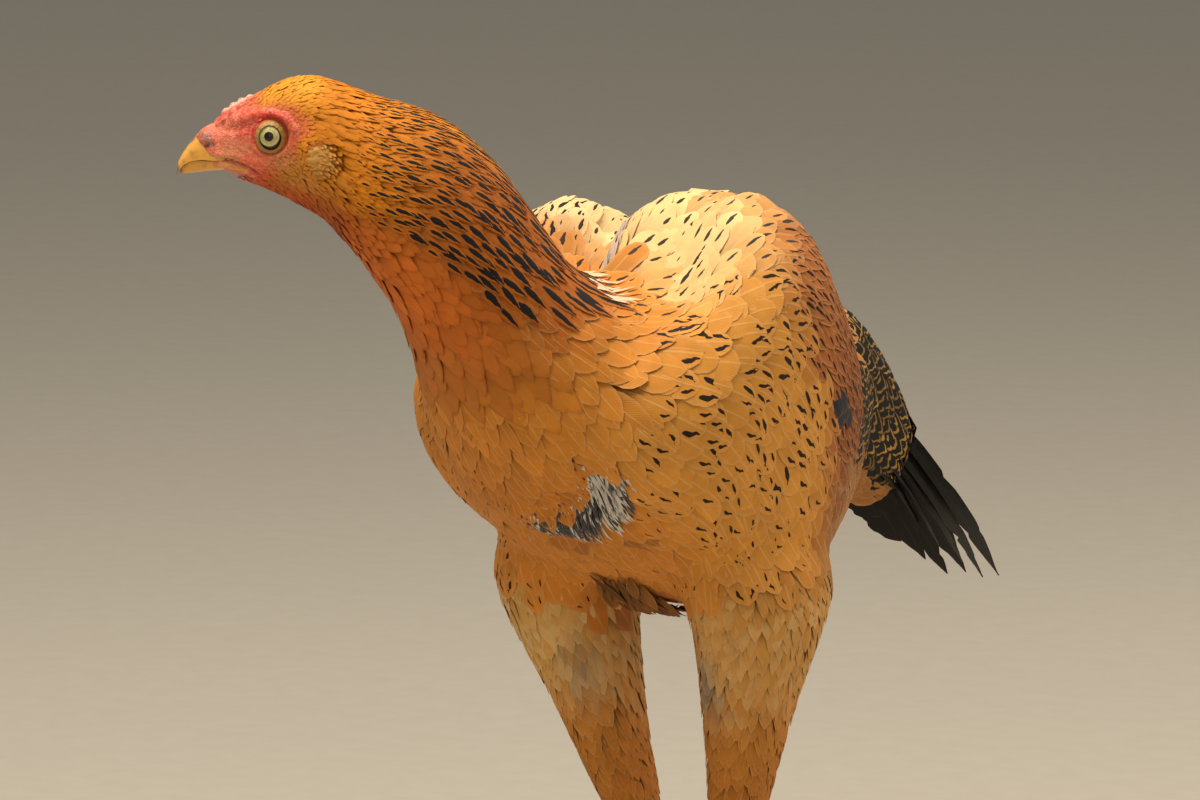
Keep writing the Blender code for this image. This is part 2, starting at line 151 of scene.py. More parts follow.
@dataclass(frozen=True)
class BirdFrame:
    """The bird's own frame in the row frame."""

    home: Array

    def to_row(self, points: Array) -> Array:
        """Millimetres in the bird's frame to metres in the row frame."""
        return np.asarray(points) / 1000 + self.home

    def to_bird(self, points: Array) -> Array:
        """Metres in the row frame to millimetres in the bird's frame."""
        return (np.asarray(points) - self.home) * 1000


def find_frame() -> BirdFrame:
    """Finds the bird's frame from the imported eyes.

    Returns:
        The frame whose origin lies on the floor between the feet.
    """
    boxes = [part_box(f"eye_{word}") for word in SIDES]
    middle = sum(((lo + hi) / 2 for lo, hi in boxes), Vector()) / 2
    home = np.array([middle.x - EYE_MID[0] / 1000, middle.y - EYE_MID[1] / 1000, 0.0])
    return BirdFrame(home)


def deselect() -> None:
    """Deselects every object."""
    for obj in bpy.context.selected_objects:
        obj.select_set(False)


def pick(obj: Object) -> None:
    """Makes an object the only selected and the active one.

    Args:
        obj: the object.
    """
    deselect()
    obj.select_set(True)
    bpy.context.view_layer.objects.active = obj


def smooth_by_angle(obj: Object, degrees: float) -> None:
    """Shades an object smooth, apart from edges sharper than an angle."""
    pick(obj)
    bpy.ops.object.shade_smooth_by_angle(angle=math.radians(degrees))


def make_object(name: str, points: Array, quads: Array, triangles: Array | tuple = ()) -> Object:
    """Makes a mesh object from arrays.

    Args:
        name: name of the piece.
        points: corners in metres in the row frame.
        quads: four corner numbers for each face.
        triangles: three corner numbers for each face.

    Returns:
        The new object, at the origin.
    """
    quads = np.asarray(quads, np.int32).reshape(-1, 4)
    triangles = np.asarray(triangles, np.int32).reshape(-1, 3)
    corners = np.concatenate([quads.ravel(), triangles.ravel()])
    starts = np.append(np.arange(len(quads)) * 4, quads.size + np.arange(len(triangles)) * 3)
    mesh = bpy.data.meshes.new(name)
    mesh.vertices.add(len(points))
    mesh.vertices.foreach_set("co", np.asarray(points, np.float32).ravel())
    mesh.loops.add(len(corners))
    mesh.loops.foreach_set("vertex_index", corners)
    mesh.polygons.add(len(starts))
    mesh.polygons.foreach_set("loop_start", starts.astype(np.int32))
    mesh.update(calc_edges=True)
    mesh.validate()
    obj = bpy.data.objects.new(name, mesh)
    bpy.context.scene.collection.objects.link(obj)
    return obj


@contextmanager
def reshaping(obj: Object) -> Iterator[bmesh.types.BMesh]:
    """Opens an object's mesh for editing and writes it back.

    Args:
        obj: the object to edit.

    Yields:
        Its mesh as faces, edges and corners.
    """
    work = bmesh.new()
    work.from_mesh(obj.data)
    yield work
    work.to_mesh(obj.data)
    work.free()


def read(items: bpy.types.bpy_prop_collection, name: str, width: int = 1, kind: type = np.int32) -> Array:
    """Reads one property of every item of a mesh.

    Args:
        items: corners, edges, loops or faces.
        name: name of the property.
        width: how many numbers it has.
        kind: their type.

    Returns:
        A row for each item, or a number where the width is 1.
    """
    flat = np.zeros(len(items) * width, kind)
    items.foreach_get(name, flat)
    return flat if width == 1 else flat.reshape(-1, width)


def points_of(mesh: Mesh) -> Array:
    """The corners of a mesh."""
    return read(mesh.vertices, "co", 3, np.float32).astype(float)


def normals_of(mesh: Mesh) -> Array:
    """The smooth normals at the corners of a mesh."""
    return read(mesh.vertices, "normal", 3, np.float32).astype(float)


def set_points(mesh: Mesh, points: Array) -> None:
    """Moves the corners of a mesh to points in metres."""
    mesh.vertices.foreach_set("co", points.astype(np.float32).ravel())
    mesh.update()


def relax(values: Array, edges: Array, rounds: int) -> Array:
    """Evens values out over the edges of a mesh, half-way to the neighbours' mean in each round.

    Args:
        values: one row for each corner.
        edges: pairs of corner numbers.
        rounds: how often each corner moves.

    Returns:
        The evened values.
    """
    values = values.astype(float).reshape(len(values), -1).copy()
    count = len(values)
    degree = np.maximum(np.bincount(edges.ravel(), minlength=count), 1)[:, None]
    for _ in range(rounds):
        total = np.empty_like(values)
        for column in range(values.shape[1]):
            total[:, column] = np.bincount(edges[:, 0], values[edges[:, 1], column], count)
            total[:, column] += np.bincount(edges[:, 1], values[edges[:, 0], column], count)
        values += (total / degree - values) * 0.5
    return values


def set_uv(mesh: Mesh, name: str, places: Array) -> None:
    """Writes a UV map that has one place for each corner of the mesh."""
    layer = mesh.uv_layers.get(name) or mesh.uv_layers.new(name=name)
    layer.uv.foreach_set("vector", places[read(mesh.loops, "vertex_index")].astype(np.float32).ravel())


def set_patch(mesh: Mesh, places: Array) -> None:
    """Writes the bake map, whose places are kept off the edge of the map."""
    set_uv(mesh, "OFBake", np.clip(places, MARGIN, 1 - MARGIN))


def set_tone(mesh: Mesh, colours: Array) -> None:
    """Writes the tone that the materials read.

    Args:
        mesh: the mesh to colour.
        colours: a linear colour for each of its corners.
    """
    full = np.concatenate([colours, np.ones((len(colours), 1))], axis=1)
    layer = mesh.color_attributes.new("tone", "FLOAT_COLOR", "POINT")
    layer.data.foreach_set("color", full.astype(np.float32).ravel())


def set_mark(mesh: Mesh, values: Array) -> None:
    """Writes how strongly the feather at each corner is marked."""
    layer = mesh.attributes.new("mark", "FLOAT", "POINT")
    layer.data.foreach_set("value", values.astype(np.float32))


def finish_piece(
    obj: Object, slot: str, *nodes: str, finish: Material | None = None, smooth: float = 0.0
) -> None:
    """Dresses a piece, lets it ride on the bird, and reports it.

    Args:
        obj: the piece.
        slot: its material slot, which is not used.
        *nodes: the solids that it replaces.
        finish: its material, if it has none yet.
        smooth: edges sharper than this angle stay sharp, and at 0 the shading is left as it is.
    """
    if finish:
        obj.data.materials.append(finish)
    if smooth:
        smooth_by_angle(obj, smooth)
    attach(obj, "root")
    if nodes:
        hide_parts(*nodes)
    LOG.info("%s: %d triangles", obj.name, sum(len(p.vertices) - 2 for p in obj.data.polygons))


# ---- materials

MENUS = {
    "Math": "operation",
    "VectorMath": "operation",
    "MapRange": "interpolation_type",
    "Mix": "blend_type",
}


def node(tree: bpy.types.NodeTree, kind: str, *links: object, out: int = 0, **settings: object) -> Socket:
    """Adds a node with its settings and links.

    Args:
        tree: node tree of the material.
        kind: node type without the ShaderNode prefix, with its menu's choice after a slash.
        *links: its inputs in order. A socket is linked, and anything else is set.
        out: number of the output to give back.
        **settings: inputs by their capitalised name, and properties by theirs.

    Returns:
        The chosen output.
    """
    name, _, choice = kind.partition("/")
    made = tree.nodes.new("ShaderNode" + name)
    if choice:
        setattr(made, MENUS[name], choice)
    places = range(len(links))
    if name == "Mix":
        made.data_type, places, out = "RGBA", (0, 6, 7), 2
    inputs = list(zip(places, links))
    for key, value in settings.items():
        if key[0].isupper():
            inputs.append((key.replace("_", " "), value))
        else:
            setattr(made, key, value)
    for key, value in inputs:
        socket = made.inputs[key]
        if isinstance(value, Socket):
            tree.links.new(value, socket)
        else:
            socket.default_value = (*value, 1.0) if socket.type == "RGBA" and len(value) == 3 else value
    return made.outputs[out]


class Finish:
    """A material with its shader; each subclass draws one real finish."""

    name: str

    def start(self, **settings: object) -> tuple[Material, Callable]:
        """Makes an empty material.

        Args:
            **settings: constants of the shader by name.

        Returns:
            The material, and the function that adds a node to it.
        """
        material = bpy.data.materials.new(self.name)
        material.use_nodes = True
        tree = material.node_tree
        tree.nodes.clear()
        shader = tree.nodes.new("ShaderNodeBsdfPrincipled")
        tree.links.new(shader.outputs[0], tree.nodes.new("ShaderNodeOutputMaterial").inputs[0])
        for key, value in settings.items():
            shader.inputs[key.replace("_", " ")].default_value = value
        return material, partial(node, tree)

    @staticmethod
    def cover(
        material: Material, colour: Socket, relief: Socket | None = None
    ) -> Material:
        """Links colour and relief to the shader of a material.

        Args:
            material: the material from start.
            colour: what colours it.
            relief: its normals, if it has any relief.

        Returns:
            The same material.
        """
        tree = material.node_tree
        shader = next(made for made in tree.nodes if made.type == "BSDF_PRINCIPLED")
        tree.links.new(colour, shader.inputs["Base Color"])
        if relief is not None:
            tree.links.new(relief, shader.inputs["Normal"])
        return material


class Marking(Enum):
    """The pattern on one feather."""

    PLAIN = "pale shaft and fringe"
    STRIPE = "dark pointed middle near the tip"
    BRACKET = "a pair of dark brackets near the tip"
    STREAK = "narrow dark streak along the shaft"
    PENCIL = "dark with gold lines that follow the edge"
    MOTTLE = "ragged dark mottling"


SPOTS = {
    # middle across and along the vane, reach across and along it, and how far the mark bows
    Marking.STRIPE: (0.0, 0.74, 0.62, 0.3, 0.0),
    Marking.BRACKET: (0.5, 0.85, 0.14, 0.12, 0.2),
    Marking.STREAK: (0.0, 0.78, 0.2, 0.18, 0.0),
}


@dataclass(frozen=True)
class Vane(Finish):
    """Contour feather of keratin: barbs give fine slanting lines, a pale shaft and a soft, dull sheen."""

    name: str
    marking: Marking = Marking.PLAIN
    dark: str = "17110D"
    roughness: float = 0.68
    gloss: float = 0.22
    shaft: float = 0.35  # how much paler the shaft is
    fringe: float = 0.22  # how far the edge goes to the fringe colour: paler for most feathers, and darker, as painted shade between feathers, where that colour is dark
    barbs: float = 26.0  # barb lines along one feather, drawn coarser than the real 0.3 mm
    relief: float = 0.25
    # colour of shaft and fringe; a dark one is painted shade between feathers
    pale: str = "FFDFA6"

    def make(self) -> Material:
        """Builds the material, which reads the feather's own map, its tone and its mark.

        Returns:
            The material.
        """
        material, put = self.start(Roughness=self.roughness, Specular_IOR_Level=self.gloss, IOR=1.54)
        tone = put("Attribute", attribute_name="tone")
        mark = put("Attribute", attribute_name="mark", out=2)
        vane_map = put("UVMap", uv_map="Vane")
        u = put("SeparateXYZ", vane_map)
        along = put("SeparateXYZ", vane_map, out=1)
        where = put("TexCoord", out=3)
        ragged = put("TexNoise", Vector=where, Scale=900.0, Detail=2.0)
        soft = put("TexNoise", Vector=where, Scale=120.0, Detail=2.0)
        across = put("Math/ABSOLUTE", put("Math/MULTIPLY_ADD", u, 2.0, -1.0))
        slant = put("Math/MULTIPLY_ADD", across, -0.28, along)
        uneven = put("Math/MULTIPLY", ragged, 3.0)
        wave = put("Math/SINE", put("Math/MULTIPLY_ADD", slant, self.barbs * WAVE, uneven))
        shade = put("Math/MULTIPLY_ADD", wave, 0.06, put("Math/MULTIPLY_ADD", soft, 0.34, 0.83))
        # a feather is darker near its root, where the one over it shades it
        deep = put("Math/MULTIPLY_ADD", put("MapRange/SMOOTHSTEP", along, 0.8, 0.2), -0.18, 1.0)
        shade = put("Math/MULTIPLY", shade, deep)
        ground = put("Mix/MULTIPLY", 1.0, tone, put("CombineColor", shade, shade, shade))
        shaft = put("Math/MULTIPLY", put("MapRange/SMOOTHSTEP", across, 0.10, 0.02), self.shaft)
        # shaft and edge go towards the fringe colour, which is painted shade between feathers where it is
        # dark
        edge = put("MapRange/SMOOTHSTEP", across, 0.6, 1.0)
        rim = put("Math/MAXIMUM", edge, put("MapRange/SMOOTHSTEP", along, 0.86, 1.0))
        pale = put("Math/MAXIMUM", shaft, put("Math/MULTIPLY", rim, self.fringe))
        colour = put("Mix/MIX", pale, ground, put("Mix/MIX", 0.5, ground, linear(self.pale)))
        if self.marking is not Marking.PLAIN:
            dark = self.spot(put, across, along, ragged, mark)
            colour = put("Mix/MIX", dark, colour, linear(self.dark))
        quill = put("Math/MULTIPLY", put("MapRange/SMOOTHSTEP", across, 0.14, 0.0), 2.0)
        height = put("Math/MULTIPLY_ADD", wave, 0.5, quill)
        bump = put("Bump", Height=height, Strength=self.relief, Distance=0.0002)
        return self.cover(material, colour, bump)

    def spot(
        self,
        put: Callable,
        across: Socket,
        along: Socket,
        ragged: Socket,
        mark: Socket,
    ) -> Socket:
        """Where the dark pigment lies on one feather.

        Args:
            put: adds a node to the material.
            across: 0 on the shaft to 1 at the edge.
            along: 0 at the root to 1 at the tip.
            ragged: fine noise that frays the marks.
            mark: how strongly this feather is marked.

        Returns:
            A share of dark for each place.
        """
        if self.marking is Marking.MOTTLE:
            lines = put("Math/MULTIPLY_ADD", across, -0.1, ragged)
            return put("Math/MULTIPLY", put("MapRange/SMOOTHSTEP", lines, 0.46, 0.58), mark)
        fray = put("Math/MULTIPLY_ADD", ragged, 0.3, -0.15)
        if self.marking is Marking.PENCIL:
            end = put("Math/MAXIMUM", put("Math/MULTIPLY_ADD", along, 1.54, -0.54), 0.0)
            square = put("Math/MULTIPLY", across, across)
            ring = put("Math/SQRT", put("Math/MULTIPLY_ADD", end, end, square))
            turn = put("Math/MULTIPLY_ADD", ring, 15.7, put("Math/MULTIPLY_ADD", fray, 2.8, -14.1))
            lines = put("MapRange/SMOOTHSTEP", put("Math/COSINE", turn), 0.5, 0.85)
            return put("Math/SUBTRACT", 1.0, put("Math/MULTIPLY", lines, mark))
        middle, height, wide, tall, bow = SPOTS[self.marking]
        dx = put("Math/MULTIPLY_ADD", across, 1 / wide, -middle / wide)
        arc = put("Math/MULTIPLY_ADD", put("Math/MULTIPLY", across, across), bow, along)
        dy = put("Math/MULTIPLY_ADD", arc, 1 / tall, -height / tall)
        reach = put("Math/SQRT", put("Math/MULTIPLY_ADD", dx, dx, put("Math/MULTIPLY", dy, dy)))
        size = put("Math/SUBTRACT", put("Math/ADD", mark, fray), reach)
        return put("MapRange/SMOOTHSTEP", size, -0.06, 0.12)


@dataclass(frozen=True)
class SkinFinish(Finish):
    """Living skin: it has the feathers' colours under the coat, and is pebbled and blood-red on the face."""

    name: str
    roughness: float
    grain_mm: float
    relief: float
    subsurface: float = 0.0
    contrast: float = 0.22
    bloom: float = 0.0  # how pale the scurf on bare skin is

    def make(self) -> Material:
        """Builds the material, which reads the tone painted on the skin.

        Returns:
            The material.
        """
        material, put = self.start(
            Roughness=self.roughness,
            IOR=1.4,
            Subsurface_Weight=self.subsurface,
            Subsurface_Radius=(1.0, 0.35, 0.2),
            Subsurface_Scale=0.0012,
        )
        tone = put("Attribute", attribute_name="tone")
        where = put("TexCoord", out=3)
        soft = put("TexNoise", Vector=where, Scale=260.0, Detail=3.0)
        pebble = put("TexVoronoi", Vector=where, Scale=1000 / self.grain_mm)
        shade = put("Math/MULTIPLY_ADD", pebble, -self.contrast, put("Math/MULTIPLY_ADD", soft, 0.5, 0.84))
        colour = put("Mix/MULTIPLY", 1.0, tone, put("CombineColor", shade, shade, shade))
        scurf = put("TexNoise", Vector=where, Scale=520.0, Detail=3.0, Roughness=0.75)
        patchy = put("Math/MULTIPLY", put("MapRange/SMOOTHSTEP", scurf, 0.45, 0.75), self.bloom)
        colour = put("Mix/MIX", patchy, colour, linear("F6C2A4"))
        height = put("Math/MULTIPLY_ADD", pebble, -1.0, put("Math/MULTIPLY", soft, 0.6))
        bump = put("Bump", Height=height, Strength=self.relief, Distance=0.0004)
        return self.cover(material, colour, bump)


@dataclass(frozen=True)
class HornFinish(Finish):
    """Keratin horn of bill and claws: waxy, a little see-through, with growth lines and stains."""

    name: str
    pale: str = "E9B548"
    stain: str = "8C6A50"
    stains: Rows = ()  # centre in metres in the row frame, and reach in mm
    roughness: float = 0.34

    def make(self) -> Material:
        """Builds the material.

        Returns:
            The material.
        """
        material, put = self.start(
            Roughness=self.roughness,
            IOR=1.54,
            Subsurface_Weight=0.12,
            Subsurface_Radius=(1.0, 0.6, 0.3),
            Subsurface_Scale=0.001,
        )
        where = put("TexCoord", out=3)
        soft = put("TexNoise", Vector=where, Scale=320.0, Detail=4.0)
        lines = put("TexNoise", Vector=where, Scale=900.0, Detail=1.0, Distortion=1.5)
        worn = put("Mix/MIX", 0.45, linear(self.pale), linear(self.stain))
        colour = put("Mix/MIX", put("MapRange/SMOOTHSTEP", soft, 0.4, 0.8), linear(self.pale), worn)
        for *centre, reach in self.stains:
            away = put("VectorMath/DISTANCE", where, tuple(centre), out=1)
            away = put("Math/MULTIPLY_ADD", away, 1000 / reach, put("Math/MULTIPLY_ADD", soft, 0.9, -0.45))
            share = put("Math/MULTIPLY", put("MapRange/SMOOTHSTEP", away, 1.15, 0.55), 0.8)
            colour = put("Mix/MIX", share, colour, linear(self.stain))
        return self.cover(material, colour, put("Bump", Height=lines, Strength=0.18, Distance=0.0003))


@dataclass(frozen=True)
class EyeFinish(Finish):
    """A hen's eye: black pupil, straw-yellow iris with fine spokes, dark rim, and a wet clear cornea."""

    name: str
    centre: tuple[float, float, float]  # in metres in the row frame
    axis: tuple[float, float, float]
    pupil: float = 1.9
    iris: float = 4.05

    def make(self) -> Material:
        """Builds the material, in rings round the way that the eye looks.

        Returns:
            The material.
        """
        material, put = self.start(Roughness=0.3, IOR=1.38, Coat_Weight=0.4, Coat_Roughness=0.03)
        where = put("TexCoord", out=3)
        offset = put("VectorMath/SUBTRACT", where, self.centre)
        depth = put("VectorMath/DOT_PRODUCT", offset, self.axis, out=1)
        length = put("VectorMath/LENGTH", offset, out=1)
        square = put("Math/MULTIPLY", depth, depth)
        square = put("Math/SUBTRACT", put("Math/MULTIPLY", length, length), square)
        radius = put("Math/MULTIPLY", put("Math/SQRT", put("Math/MAXIMUM", square, 0.0)), 1000.0)
        spokes = put("TexNoise", Vector=where, Scale=1500.0, Detail=2.0)
        spokes = put("MapRange/SMOOTHSTEP", spokes, 0.35, 0.7)
        iris = put("Mix/MIX", spokes, linear("D6CB86"), linear("AE9C58"))
        glow = put("MapRange/SMOOTHSTEP", radius, self.pupil + 0.8, self.iris)
        iris = put("Mix/MIX", glow, iris, linear("E2DB9A"))
        seen = put("MapRange/SMOOTHSTEP", radius, self.pupil - 0.15, self.pupil + 0.2)
        colour = put("Mix/MIX", seen, linear("050404"), iris)
        rim = put("MapRange/SMOOTHSTEP", radius, self.iris - 0.2, self.iris + 0.2)
        return self.cover(material, put("Mix/MIX", rim, colour, linear("241D10")))


# ---- the body's chart


def head_row(forward: float, top: float, bottom: float, half: float) -> tuple[float, ...]:
    """One section of the head.

    Args:
        forward: how far it lies ahead of the eyes, in mm.
        top: its upper edge, over the eye line.
        bottom: its lower edge.
        half: half its width.

    Returns:
        A row of the body's chart.
    """
    heading = math.radians(HEAD_TURN)
    reach = (top - bottom) / 2
    x, y = HEAD_EYE[0] - forward * math.sin(heading), HEAD_EYE[1] - forward * math.cos(heading)
    return (x, y, HEAD_EYE[2] + (top + bottom) / 2, HEAD_TURN, 0.0, half, reach, reach, 0.92, 0.92)


@dataclass(frozen=True)
class Chart:
    """The body as a tube of sections, from the end of the tail coverts (0) to the bill's root (18).

    A place on it is a station along the tube and an angle round it: 0 on her left side, 90 on the back.
    A row is x, y, z, turn, rise, half width, reach up, reach down, and the shape above and below.
    """

    rows: Rows = (
        (-15.2, 220, 259, -5, 44, 15, 24, 28, 0.9, 0.9),
        (-13.0, 192, 279, -5, 40, 18, 33, 38, 0.95, 0.95),
        (-9.6, 150, 298, -5, 30, 26, 41, 50, 1.0, 0.9),
        (-5.1, 94, 297, -4, 24, 42, 60, 71, 1.1, 0.75),
        (0, 32, 304, -1, 18, 64, 78, 82, 0.95, 0.7),
        (0, -22, 333, 0, 22, 70, 62, 84, 0.8, 0.64),
        (-4, -60, 338, 5, 38, 61, 40, 60, 0.9, 0.8),
        (-13, -93, 355, 11, 52, 42, 35, 38, 0.95, 0.95),
        (-18, -112, 376, 16, 56, 33, 37, 33, 1.0, 1.0),
        (-26, -125, 396, 26, 50, 30, 37, 32, 1.0, 1.0),
        (-38, -134, 411, 40, 34, 28, 35, 30, 1.0, 1.0),
        (-53, -140, 419, 51, 15, 25, 31, 28, 1.0, 1.0),
        head_row(-24.0, 24.6, -34.0, 22.0),
        head_row(-16.0, 26.0, -29.5, 20.5),
        head_row(-8.0, 24.6, -25.0, 18.4),
        head_row(0.0, 21.0, -21.0, 16.4),
        head_row(8.0, 15.2, -17.8, 13.4),
        head_row(15.0, 9.8, -15.8, 10.2),
        head_row(21.0, 5.4, -15.2, 7.6),
    )
    step: float = 0.06
    turn_step: float = 4.0

    def surface(self, station: Array, angle: Array) -> Array:
        """Points of the tube.

        Args:
            station: place along it.
            angle: place round it in degrees.

        Returns:
            Points in millimetres.
        """
        rows = catmull(np.array(self.rows, float), station)
        turn, rise = np.radians(rows[:, 3]), np.radians(rows[:, 4])
        level = np.cos(rise)
        heading = np.stack([-np.sin(turn) * level, -np.cos(turn) * level, np.sin(rise)], 1)
        left = np.stack([np.cos(turn), -np.sin(turn), np.zeros_like(turn)], 1)
        dorsal = np.cross(heading, left)
        round_ = np.radians(angle)
        upper = np.sin(round_) >= 0
        shape = np.where(upper, rows[:, 8], rows[:, 9])
        reach = np.where(upper, rows[:, 6], rows[:, 7])
        across = np.sign(np.cos(round_)) * np.abs(np.cos(round_)) ** shape * rows[:, 5]
        height = np.sign(np.sin(round_)) * np.abs(np.sin(round_)) ** shape * reach
        return rows[:, :3] + left * across[:, None] + dorsal * height[:, None]

    def locate(self, points: Array) -> tuple[Array, Array]:
        """The nearest place on the tube for each point.

        Args:
            points: places in millimetres.

        Returns:
            Stations and angles.
        """
        stations = np.arange(0, len(self.rows) - 1 + 1e-6, self.step)
        angles = np.arange(-180, 180, self.turn_step)
        station, angle = (grid.ravel() for grid in np.meshgrid(stations, angles, indexing="ij"))
        samples = self.surface(station, angle)
        tree = KDTree(len(samples))
        for index, point in enumerate(samples):
            tree.insert(point, index)
        tree.balance()
        nearest = np.array([tree.find(point)[1] for point in points])
        return station[nearest], angle[nearest]

    def tailward(self, station: Array, angle: Array) -> Array:
        """The direction along the tube towards the tail."""
        small = 0.15
        return unit(self.surface(station - small, angle) - self.surface(station + small, angle))


@dataclass
class HeadAxes:
    """Places on the head: ahead of the eyes, out to her left, and above the eye line."""

    turn: float = math.radians(HEAD_TURN)

    def __post_init__(self) -> None:
        """Works out the two level directions."""
        sine, cosine = math.sin(self.turn), math.cos(self.turn)
        self.ahead = np.array([-sine, -cosine, 0.0])
        self.left = np.array([cosine, -sine, 0.0])

    def place(self, forward: float, out: float, height: float) -> Array:
        """A point of the head in millimetres."""
        return np.array(HEAD_EYE) + self.ahead * forward + self.left * out + np.array([0, 0, height])

    def read(self, points: Array) -> tuple[Array, Array, Array]:
        """How far points lie ahead, out and above."""
        away = points - np.array(HEAD_EYE)
        return away @ self.ahead, away @ self.left, away[:, 2]


HEAD = HeadAxes()
CHART = Chart()
FACE_LINE = (
    (30, 7), (16, 13), (6.5, 18.5), (4, 11), (-1, 12.7), (-8, 12.2), (-13.0, 8.5), (-14.6, 3),
    (-11.5, -3), (-5.5, -8), (0, -12.5), (5, -17), (12, -18), (30, -18),
)  # round the bare skin of the face, ahead of and above the eye, in mm


def inside_face(forward: Array, height: Array) -> Array:
    """How far inside the outline of the bare face each place lies.

    Args:
        forward: distances ahead of the eye, in mm.
        height: distances above it.

    Returns:
        Distances from the outline, negative outside it.
    """
    line = np.array((*FACE_LINE, FACE_LINE[0]), float)
    spots = np.stack([forward, height], 1)
    inside = np.zeros(len(spots), bool)
    for a, b in zip(line[:-1], line[1:]):
        run, rise = b - a
        rise = 1e-9 if abs(rise) < 1e-9 else rise
        crosses = (a[1] > spots[:, 1]) != (b[1] > spots[:, 1])
        inside ^= crosses & (spots[:, 0] < (spots[:, 1] - a[1]) / rise * run + a[0])
    near = line_distance(spots, line)
    return np.where(inside, near, -near)


@dataclass(frozen=True)
class Fold:
    """A crease or a swelling of the body along a line of stations and angles."""

    line: Line
    wide: float  # how far it reaches to either side, in mm
    rise: float  # how high it stands, or how deep it lies, in mm

    def near(self, points: Array) -> Array:
        """Closeness of points in mm to the line, from 1 on it to 0 far from it."""
        knots = CHART.surface(*np.array(self.line, float).T)
        return np.exp(-((line_distance(points, knots) / self.wide) ** 2))


# no breast feathers are rooted here
PARTING = Fold(((6.2, -57), (5.95, -61), (5.76, -68), (5.7, -82), (5.62, -93)), 10.5, 0.0)
# grey down shows where the coat parts
DOWN_PATCH = Fold(((5.94, -59), (5.74, -67), (5.64, -81), (5.57, -91)), 8.8, 0.0)
# pale down comes loose past the cape and between the shoulders
CAPE_DOWN = Fold(((6.95, 44), (6.9, 70)), 5.0, 0.0)
VALLEY_DOWN = Fold(((6.0, 90), (5.6, 92)), 8.0, 0.0)
# the shaded edge under the grey down
CREASE = Fold(((5.44, -70), (5.42, -82), (5.38, -92)), 3.6, 0.0)
FOLDS = (
    # the valley between the shoulders, and the hump beside it
    Fold(((6.4, 93), (5.8, 99), (5.0, 101), (4.2, 98)), 7.5, -10.0),
    Fold(((6.0, 78), (5.5, 84), (5.0, 84), (4.6, 76)), 15.0, 10.0),
    # the breast crease, the pit where the down lies, and the roll and crease under it
    Fold(((7.4, -46), (6.8, -51), (6.4, -54), (6.05, -57)), 5.0, -2.4),
    Fold(((5.9, -61), (5.72, -69), (5.62, -84)), 8.0, -5.0),
    Fold(((5.55, -96), (5.4, -88), (5.3, -80)), 6.0, 3.0),
    Fold(((5.2, -104), (5.12, -90), (5.0, -78)), 5.0, -3.0),
    # the groove before the shoulder, and the filled back of the hump
    Fold(((6.6, 58), (6.2, 76)), 7.0, -4.0),
    Fold(((4.95, 67), (4.75, 70), (4.55, 74)), 15.0, 2.4),
)


class Part(Enum):
    """What a place of the skin belongs to."""

    TRUNK = 0
    NECK = 1
    HEAD = 2
    WING = 3
    THIGH = 4
    TAIL = 5
    SHANK = 6
    TOE = 7
    COMB = 8
    EAR = 9


FLESH = {
    "trunk": Part.TRUNK,
    "neck": Part.NECK,
    "head": Part.HEAD,
    "comb": Part.COMB,
    "tail_coverts": Part.TAIL,
    **{f"ear_{word}": Part.EAR for word in SIDES},
    **{f"wing_{word}": Part.WING for word in SIDES},
    **{f"thigh_{word}": Part.THIGH for word in SIDES},
    **{f"shank_{word}": Part.SHANK for word in SIDES},
    **{f"toe_{word}_{toe}": Part.TOE for word in SIDES for toe in ("inner", "middle", "outer", "hind")},
}


@dataclass
class Places:
    """Where points of the body lie, read once and used for colours, lie and depth of the coat."""

    points: Array
    part: Array
    station: Array
    angle: Array

    def __post_init__(self) -> None:
        """Works out the folded angle, the side and the place on the head."""
        self.side = np.where(np.abs(self.angle) <= 90, 1, -1)
        folded = np.where(np.abs(self.angle) <= 90, self.angle, 180 - self.angle)
        self.folded = np.where(folded > 180, folded - 360, folded)
        self.ahead, self.out, self.height = HEAD.read(self.points)
        self.face = inside_face(self.ahead, self.height)
        self.face = np.where(self.is_(Part.HEAD, Part.COMB, Part.EAR), self.face, -30.0)

    def is_(self, *parts: Part) -> Array:
        """Which points belong to one of these parts."""
        return np.isin(self.part, [p.value for p in parts])

    def take(self, rows: Array, points: Array) -> "Places":
        """Some of the places, with their points moved to others near by."""
        return Places(points, self.part[rows], self.station[rows], self.angle[rows])


EAR = (-21.1, -6.2)  # middle of the ear, ahead of and above the eye, in mm
EAR_REACH = (5.6, 6.6)
NOSTRIL = 24.3  # how far ahead of the eye the knob over the nostril lies
ON_HORN = 16.5  # from here forward the skin comes to lie on the horn of the bill


def ear_ring(at: Places) -> Array:
    """Where each place lies from the middle of the ear, 0, over its edge, 1, and outwards."""
    ring = np.hypot((at.ahead - EAR[0]) / EAR_REACH[0], (at.height - EAR[1]) / EAR_REACH[1])
    return np.where(at.is_(Part.EAR, Part.HEAD) & (np.abs(at.out) > 1), ring, 9.0)


def bow_front(angle: Array) -> Array:
    """The station at which the rusty bow of the wing ends, for each angle."""
    return np.interp(angle, (-40, -20, 0, 6, 9, 24, 40, 52), (3.9, 4.05, 4.38, 4.6, 5.15, 5.3, 5.22, 4.9))


